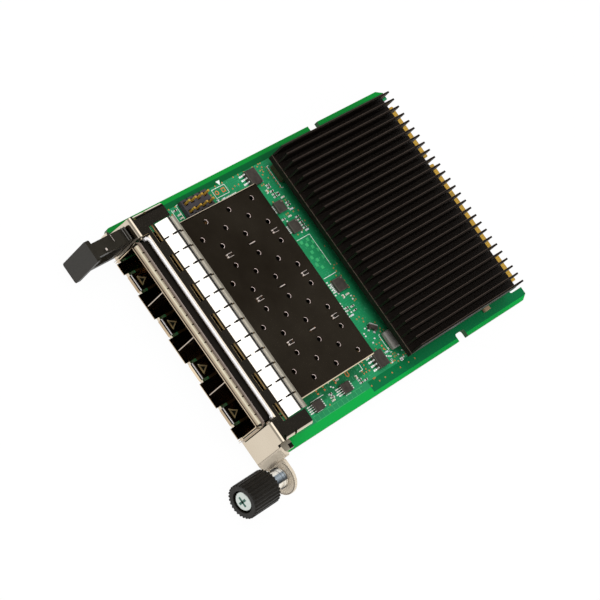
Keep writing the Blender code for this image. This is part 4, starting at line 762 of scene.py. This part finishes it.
def buildInk():
    scatter(padModel("inkLine", (1.0, 0.16), ink), "inkLines", [stroke(*line) for line in inkLines])
    rungs = int((ladder["end"] - ladder["start"]) / ladder["rung"]) + 1
    left, right = ladder["rails"]
    lines = [stroke(x, ladder["start"], x, ladder["end"]) for x in ladder["rails"]]
    steps = [ladder["start"] + n * ladder["rung"] for n in range(rungs)]
    lines += [stroke(left, back, right, back) for back in steps]
    scatter(padModel("guardTrace", (1.0, 0.13), tented), "guardTraces", lines)
    bpy.ops.object.select_all(action="DESELECT")
    bpy.ops.mesh.primitive_cylinder_add(vertices=3, radius=0.95 * mm, depth=0.06 * mm,
                                        location=(0, 0, 0.01 * mm))
    arrow = bpy.context.active_object
    arrow.data.materials.append(ink)
    edged(arrow, 0.02, 1)
    scatter(arrow, "inkArrow", [(-35.4, 46.4, -90.0)])


contactSizes = {"width": 0.48, "pitch": 0.60, "start": 116.9, "end": 120.85, "thick": 0.04,
                "groups": ((-31.6, -13.4), (-10.6, -0.1), (0.67, 19.4), (22.3, 31.9))}


def buildContacts():
    s = contactSizes
    for name, up in (("upperContacts", 0.0), ("lowerContacts", -boardThick)):
        groups = []
        for first, last in s["groups"]:
            pad = block("contact", spot(first + s["width"] / 2, (s["start"] + s["end"]) / 2, up),
                        (s["width"], s["end"] - s["start"], s["thick"]))
            pad.data.materials.append(finishes["gold"])
            row = pad.modifiers.new("row", "ARRAY")
            row.use_relative_offset = False
            row.use_constant_offset = True
            row.constant_offset_displace = (s["pitch"] * mm, 0, 0)
            row.count = int((last - first - s["width"]) / s["pitch"]) + 1
            edged(pad, 0.015, 1)
            groups.append(pad)
        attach(joined(groups, name), "card")


# Cage and fingers
earSizes = {"apart": 1.0, "leg": 0.14, "length": 2.0, "height": 0.14}
earPlaces = [(x, y) for x in (-portPitch, 0.0, portPitch) for y in (26.2, 44.7)]
ventStart, ventColumn, ventRow = 21.2, 3.95, 4.63
ventPlaces = [(x + column * ventColumn, ventStart + ventRow * (2 * row + abs(column)), 0.0, 1.0, cageTop)
              for x in portCentres for column in (-1, 0, 1) for row in range(3)]
ventRim = metalFinish("ventRim", (0.62, 0.48, 0.45), (0.88, 0.74, 0.70), 0.25, 0.40, 0.2)


def buildCageDetail():
    e = earSizes
    leg = (e["leg"], e["length"], e["height"])
    parts = [block("leg", (side * e["apart"] / 2 * mm, 0.1 * mm, 0.05 * mm), leg) for side in (-1, 1)]
    parts.append(block("tip", (0, -e["length"] / 2 * mm, 0.07 * mm),
                       (e["apart"] + 0.1, 0.55, e["height"] + 0.16)))
    for part in parts:
        part.data.materials.append(earSteel)
        edged(part, 0.05, 2)
    scatter(joined(parts, "ear"), "tabEars", [(x, y, 0.0, 1.0, cageTop) for x, y in earPlaces])

    bpy.ops.object.select_all(action="DESELECT")
    bpy.ops.mesh.primitive_torus_add(major_segments=12, minor_segments=4, major_radius=0.70 * mm,
                                     minor_radius=0.07 * mm, location=(0, 0, 0))
    rim = bpy.context.active_object
    rim.data.materials.append(ventRim)
    alone(rim)
    bpy.ops.object.mode_set(mode="EDIT")
    bpy.ops.mesh.select_all(action="SELECT")
    bpy.ops.transform.resize(value=(1.0, 1.0, 0.7))
    bpy.ops.object.mode_set(mode="OBJECT")
    pick(rim, lambda at, normal: at.y < 0.15 * mm)              # only the lit half at the rear is left
    bpy.ops.mesh.delete(type="FACE")
    bpy.ops.mesh.select_all(action="SELECT")
    bpy.ops.mesh.fill_holes(sides=8)
    bpy.ops.object.mode_set(mode="OBJECT")
    scatter(rim, "ventRims", ventPlaces)

    strips = []
    for n in range(7):
        strip = block("clip", spot((n - 3) * 9.5, 7.9, 10.1), (5.6, 1.0, 0.25))
        strip.data.materials.append(brass)
        strips.append(edged(strip, 0.08, 1))
    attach(joined(strips, "clipStrips"), "card")

    # painted shade: a dark wedge under the fingers, so their slits look dark
    fingerShade = block("fingerBacking", spot(0.0, 13.0, 10.02), (61.0, 6.2, 0.40))
    alone(fingerShade)
    bpy.ops.object.mode_set(mode="EDIT")
    bpy.ops.mesh.select_all(action="SELECT")
    bpy.ops.mesh.bisect(plane_co=spot(0.0, 13.5), plane_no=(0, 1, 0))
    bpy.ops.mesh.select_mode(type="EDGE")
    bpy.ops.mesh.select_all(action="DESELECT")
    mesh = bmesh.from_edit_mesh(fingerShade.data)
    ridge = spot(0.0, 13.5, 10.1)
    for edge in mesh.edges:
        ends = [vert.co for vert in edge.verts]
        edge.select_set(all(abs(at.y - ridge.y) < 1e-5 and at.z > ridge.z for at in ends))
    bmesh.update_edit_mesh(fingerShade.data)
    bpy.ops.transform.translate(value=(0, 0, 1.7 * mm))
    bpy.ops.object.mode_set(mode="OBJECT")
    dress(fingerShade, shade)


mouthSizes = {"triangle": (4.0, 1.6, 0.34), "foil": (12.4, 3.6), "gasket": (57.0, 4.6, 3.2),
              "jamb": (29.22, 5.15, 10.55, (0.86, 4.3, 1.35)), "cheek": (29.3, 8.0, 4.8, (0.34, 8.4, 9.4)),
              "slot": (0.54, 2.6, 0.2), "fall": math.radians(-8.0), "roll": 0.50, "seam": (5.0, 0.2, 0.24),
              "foot": (36.25, 11.2, 0.65, (2.7, 5.4, 1.3))}
rollPath = [(-28.5, 3.95, 10.75), (-28.7, 4.5, 10.85), (-28.35, 5.1, 10.9), (-27.6, 5.42, 10.9),
            (27.6, 5.42, 10.9), (28.3, 5.2, 10.9), (28.5, 4.8, 10.85)]      # across, back, up


def buildMouthDetail():
    m = mouthSizes
    back, radius, rim = m["triangle"]
    bpy.ops.object.select_all(action="DESELECT")
    bpy.ops.mesh.primitive_cylinder_add(vertices=3, radius=radius * mm, depth=0.16 * mm, location=(0, 0, 0))
    ring = bpy.context.active_object
    ring.data.materials.append(brass)
    ring.data.materials.append(boreShade)
    pick(ring, lambda at, normal: normal.z > 0.9)
    bpy.ops.mesh.inset(thickness=rim * mm)
    bpy.ops.transform.translate(value=(0, 0, -0.1 * mm))
    paintPicked(ring, 1)
    scatter(ring, "latchRims", [(x, back, 0.0, 1.0, 0.66) for x in portCentres])
    # painted shade: dark sheets on the board inside each port mouth
    sheet = block("foil", (0, 0, 0.03 * mm), (*m["foil"], 0.06))
    sheet.data.materials.append(foil)
    scatter(edged(sheet, 0.02, 1), "groundFoils", [(x, 6.0) for x in portCentres])

    # painted shade: a dark strip on the cage top behind the lip
    gasket = block("gasket", spot(0.0, m["gasket"][1], 9.86), (m["gasket"][0], m["gasket"][2], 0.12))
    dress(edged(gasket, 0.04, 1), shade)
    gasket.name = "mouthGasket"
    jambs = []
    for side in (-1, 1):                           # bent ends of the mouth, between the lip and the face
        across, back, up, size = m["jamb"]
        jamb = block("jamb", spot(side * across, back, up), size)
        jamb.data.materials.append(finishes["nickel_plate"])
        jambs.append(edged(jamb, 0.34, 4))
    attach(joined(jambs, "mouthJambs"), "card")

    dash = block("dash", (0, 0, 0), m["slot"])     # painted shadows in the rear slots of the fingers
    dash.data.transform(Matrix.Rotation(m["fall"], 4, "X"))
    dash.data.materials.append(shade)
    scatter(dash, "fingerSlots", [(4.75 * n - 30.875, 14.15, 0.0, 1.0, 11.93) for n in range(1, 13)])

    gapShades = []
    for side in (-1, 1):                           # painted shade in the dark gaps beside the cage
        across, back, up, size = m["cheek"]
        gapShades.append(block("cheek", spot(side * across, back, up), size))
    dress(joined(gapShades, "mouthCheeks"), shade)

    bpy.ops.curve.primitive_nurbs_path_add(location=(0, 0, 0))      # rolled edge of the mouth, finished as a painted highlight
    roll = bpy.context.active_object
    line = roll.data.splines[0]
    line.points.add(len(rollPath) - len(line.points))
    for point, at in zip(line.points, rollPath):
        point.co = (*spot(*at), 1.0)
    line.type = "POLY"
    roll.data.bevel_depth = m["roll"] * mm
    roll.data.bevel_resolution = 3
    roll.data.use_fill_caps = True
    alone(roll)
    bpy.ops.object.convert(target="MESH")
    roll = bpy.context.active_object
    bpy.ops.object.shade_smooth()
    roll.name = "mouthRoll"
    dress(roll, paintedHighlightPlate)

    # painted shade: a dark strip in the gap on each latch tab, with a painted highlight strip above it
    seam = block("seam", (0, 0, 0), m["seam"])
    seam.data.materials.append(shade)
    trim = block("trim", (0, 0.18 * mm, 0.36 * mm), m["seam"])
    trim.data.materials.append(paintedHighlightPlate)
    scatter(joined([seam, trim], "latchSeam"), "latchSeams", [(x, 1.74, 0.0, 1.0, 0.08) for x in portCentres])

    across, back, up, size = m["foot"]
    foot = edged(block("sideFoot", spot(across, back, up), size), 0.3, 3)
    dress(foot, satinPlate)
    # painted shade: a dark sheet in the notch by the foot
    foldShade = block("footFold", spot(across + 0.55, back + 1.75, 2 * up), (1.3, 1.5, 0.06))
    dress(foldShade, shade)


tabSizes = {"boss": (1.3, -7.6), "line": (-0.7, -3.9), "ribs": (0.3, 1.2)}


def buildTabDetail():
    low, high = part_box("pull_tab")
    top = high.z
    middle = (low.x + high.x) / 2
    mouth = Vector((middle, portMouth * mm, top))
    # painted highlight: the boss and the line across the tab carry the lit steel
    boss = block("boss", mouth + Vector((*tabSizes["boss"], 0.0)) * mm, (0.75, 0.5, 0.16))
    boss.data.materials.append(earSteel)
    edged(boss, 0.07, 3)
    line = block("line", mouth + Vector((*tabSizes["line"], -0.03)) * mm, (2.3, 0.09, 0.10))
    line.data.materials.append(earSteel)
    ribs = []
    for back in tabSizes["ribs"]:
        rib = block("rib", mouth + Vector((0.0, back, -0.02)) * mm, (4.0, 0.28, 0.30))
        rib.data.materials.append(paintedHighlightPlastic)
        ribs.append(edged(rib, 0.12, 3))
    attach(joined([boss, edged(line, 0.03, 1)], "tabMarks"), "card")
    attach(joined(ribs, "tabRibs"), "card")


knobRibs = {"count": 28, "width": 0.60, "height": 0.40, "outer": 4.85, "front": 0.02, "rear": 1.22}


def buildScrewDetail():
    centre = (knobLow + knobHigh) / 2
    ribs = []
    length = (knobHigh.y - knobLow.y) / mm - knobRibs["front"] - knobRibs["rear"]
    slide = Vector((0.0, (knobRibs["front"] - knobRibs["rear"]) / 2 * mm, 0.0))
    model = block("rib", (0, 0, (knobRibs["outer"] - knobRibs["height"] / 2) * mm),
                  (knobRibs["width"], length, knobRibs["height"]))
    model.data.materials.append(finishes["black_plastic"])
    edged(model, 0.16, 2)
    for n in range(knobRibs["count"]):
        rib = model.copy()
        rib.data = model.data.copy()
        bpy.context.scene.collection.objects.link(rib)
        turn = Matrix.Rotation(2 * math.pi * (n + 0.5) / knobRibs["count"], 4, "Y")
        rib.data.transform(Matrix.Translation(centre + slide) @ turn)
        ribs.append(rib)
    bpy.data.objects.remove(model)
    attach(joined(ribs, "knobRibs"), "captive_thumbscrew")
    screwLow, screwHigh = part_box("thumbscrew")
    # painted reflection: teal arms laid in the cross recess
    arms = []
    for size in ((3.0, 0.1, 0.72), (0.72, 0.1, 3.0)):
        arm = block("arm", Vector((centre.x, screwLow.y + 0.02 * mm, centre.z)), size)
        arm.data.materials.append(recessReflection)
        arms.append(edged(arm, 0.04, 1))
    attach(joined(arms, "crossPatina"), "captive_thumbscrew")


buildSmallParts()
buildVias()
buildInk()
print("small parts, vias and ink on the board")
buildContacts()
buildCageDetail()
buildMouthDetail()
buildTabDetail()
buildScrewDetail()
print("contacts and cage details")


# Floor, light and camera
stageSizes = {"floorHalf": 3.0, "lampHeight": 0.9, "lampPower": 9.0, "worldFill": 0.62, "floorGlow": 0.97,
              "frontCard": 0.42, "overhead": 0.6}
skyStops = ((0.0, 1.0), (0.22, 0.9), (0.38, 0.030), (0.87, 0.027), (0.94, 1.0))    # height, mirrored light


def buildStage():
    bpy.ops.object.select_all(action="DESELECT")
    bpy.ops.mesh.primitive_plane_add(size=2 * stageSizes["floorHalf"],
                                     location=(0, 0, cadBox[0][2] - 0.0001))
    floor = bpy.context.active_object
    floor.name = "studioFloor"
    f = Finish("paleFloor")
    path = f.make("ShaderNodeLightPath", take=None)
    seen = Value(f.tree, path.outputs["Is Camera Ray"]).larger(Value(f.tree, path.outputs["Is Glossy Ray"]))
    matt = f.make("ShaderNodeBsdfDiffuse", inputs={"Color": (0.9, 0.9, 0.9, 1.0)})
    glow = f.make("ShaderNodeEmission", inputs={"Color": (1.0, 1.0, 1.0, 1.0), "Strength": 1.0})
    both = f.make("ShaderNodeMixShader", inputs={0: seen * stageSizes["floorGlow"], 1: matt, 2: glow})
    f.make("ShaderNodeOutputMaterial", inputs={"Surface": both}, take=None)
    floor.data.materials.append(f.material)

    world = bpy.data.worlds.new("studio")
    bpy.context.scene.world = world
    world.use_nodes = True
    tree = world.node_tree
    tree.nodes.clear()
    path = tree.nodes.new("ShaderNodeLightPath")
    aim = tree.nodes.new("ShaderNodeTexCoord")
    part = tree.nodes.new("ShaderNodeSeparateXYZ")
    tree.links.new(aim.outputs["Generated"], part.inputs[0])
    height = Value(tree, part.outputs[2])
    ramp = tree.nodes.new("ShaderNodeValToRGB")
    while len(ramp.color_ramp.elements) < len(skyStops):
        ramp.color_ramp.elements.new(0.5)
    for stop, (at, level) in zip(ramp.color_ramp.elements, skyStops):
        stop.position = at
        stop.color = (level, level, level, 1.0)
    plug(tree, ramp.inputs[0], height.held())
    camera = Value(tree, path.outputs["Is Camera Ray"])
    glossy = Value(tree, path.outputs["Is Glossy Ray"])
    front = (Value(tree, part.outputs[1]) * -3.0).held() * stageSizes["frontCard"]
    openSide = 0.1 + 0.9 * (Value(tree, part.outputs[0]) * 4.0 + 1.8).held()
    overhead = 1.0 + (height > 0.9) * stageSizes["overhead"]
    mirrored = camera.larger(glossy * Value(tree, ramp.outputs[0]).larger(front) * openSide * overhead)
    fill = (1.0 - camera.larger(glossy)) * stageSizes["worldFill"]
    light = tree.nodes.new("ShaderNodeBackground")
    light.inputs["Color"].default_value = (1.0, 1.0, 1.0, 1.0)
    plug(tree, light.inputs["Strength"], mirrored + fill)
    out = tree.nodes.new("ShaderNodeOutputWorld")
    tree.links.new(light.outputs[0], out.inputs[0])

    bpy.ops.object.light_add(type="AREA", location=(0.05, -0.2, stageSizes["lampHeight"]))
    lamp = bpy.context.active_object
    lamp.name = "softBox"
    lamp.data.shape = "RECTANGLE"
    lamp.data.size = 1.3
    lamp.data.size_y = 1.0
    lamp.data.energy = stageSizes["lampPower"]
    lamp.visible_glossy = False


cameraSetting = {"at": (0.0627861, -0.4408383, 0.4768986), "lens": 139.356, "shift": (0.00104, -0.030635),
                 "right": (0.57094102, 0.64597432, 0.50669865), "up": (-0.81516225, 0.37262644, 0.44346369),
                 "back": (0.09765685, -0.66623322, 0.7393216)}


def placeCamera():
    data = bpy.data.cameras.new("photoCamera")
    camera = bpy.data.objects.new("photoCamera", data)
    bpy.context.scene.collection.objects.link(camera)
    turn = Matrix((cameraSetting["right"], cameraSetting["up"], cameraSetting["back"])).transposed()
    camera.matrix_world = Matrix.Translation(cameraSetting["at"]) @ turn.to_4x4()
    data.lens = cameraSetting["lens"]
    data.sensor_width = 36.0
    data.shift_x, data.shift_y = cameraSetting["shift"]
    data.clip_start = 0.01
    bpy.context.scene.camera = camera


buildStage()
placeCamera()
bpy.context.scene.view_settings.view_transform = "Standard"
print("stage and camera ready")
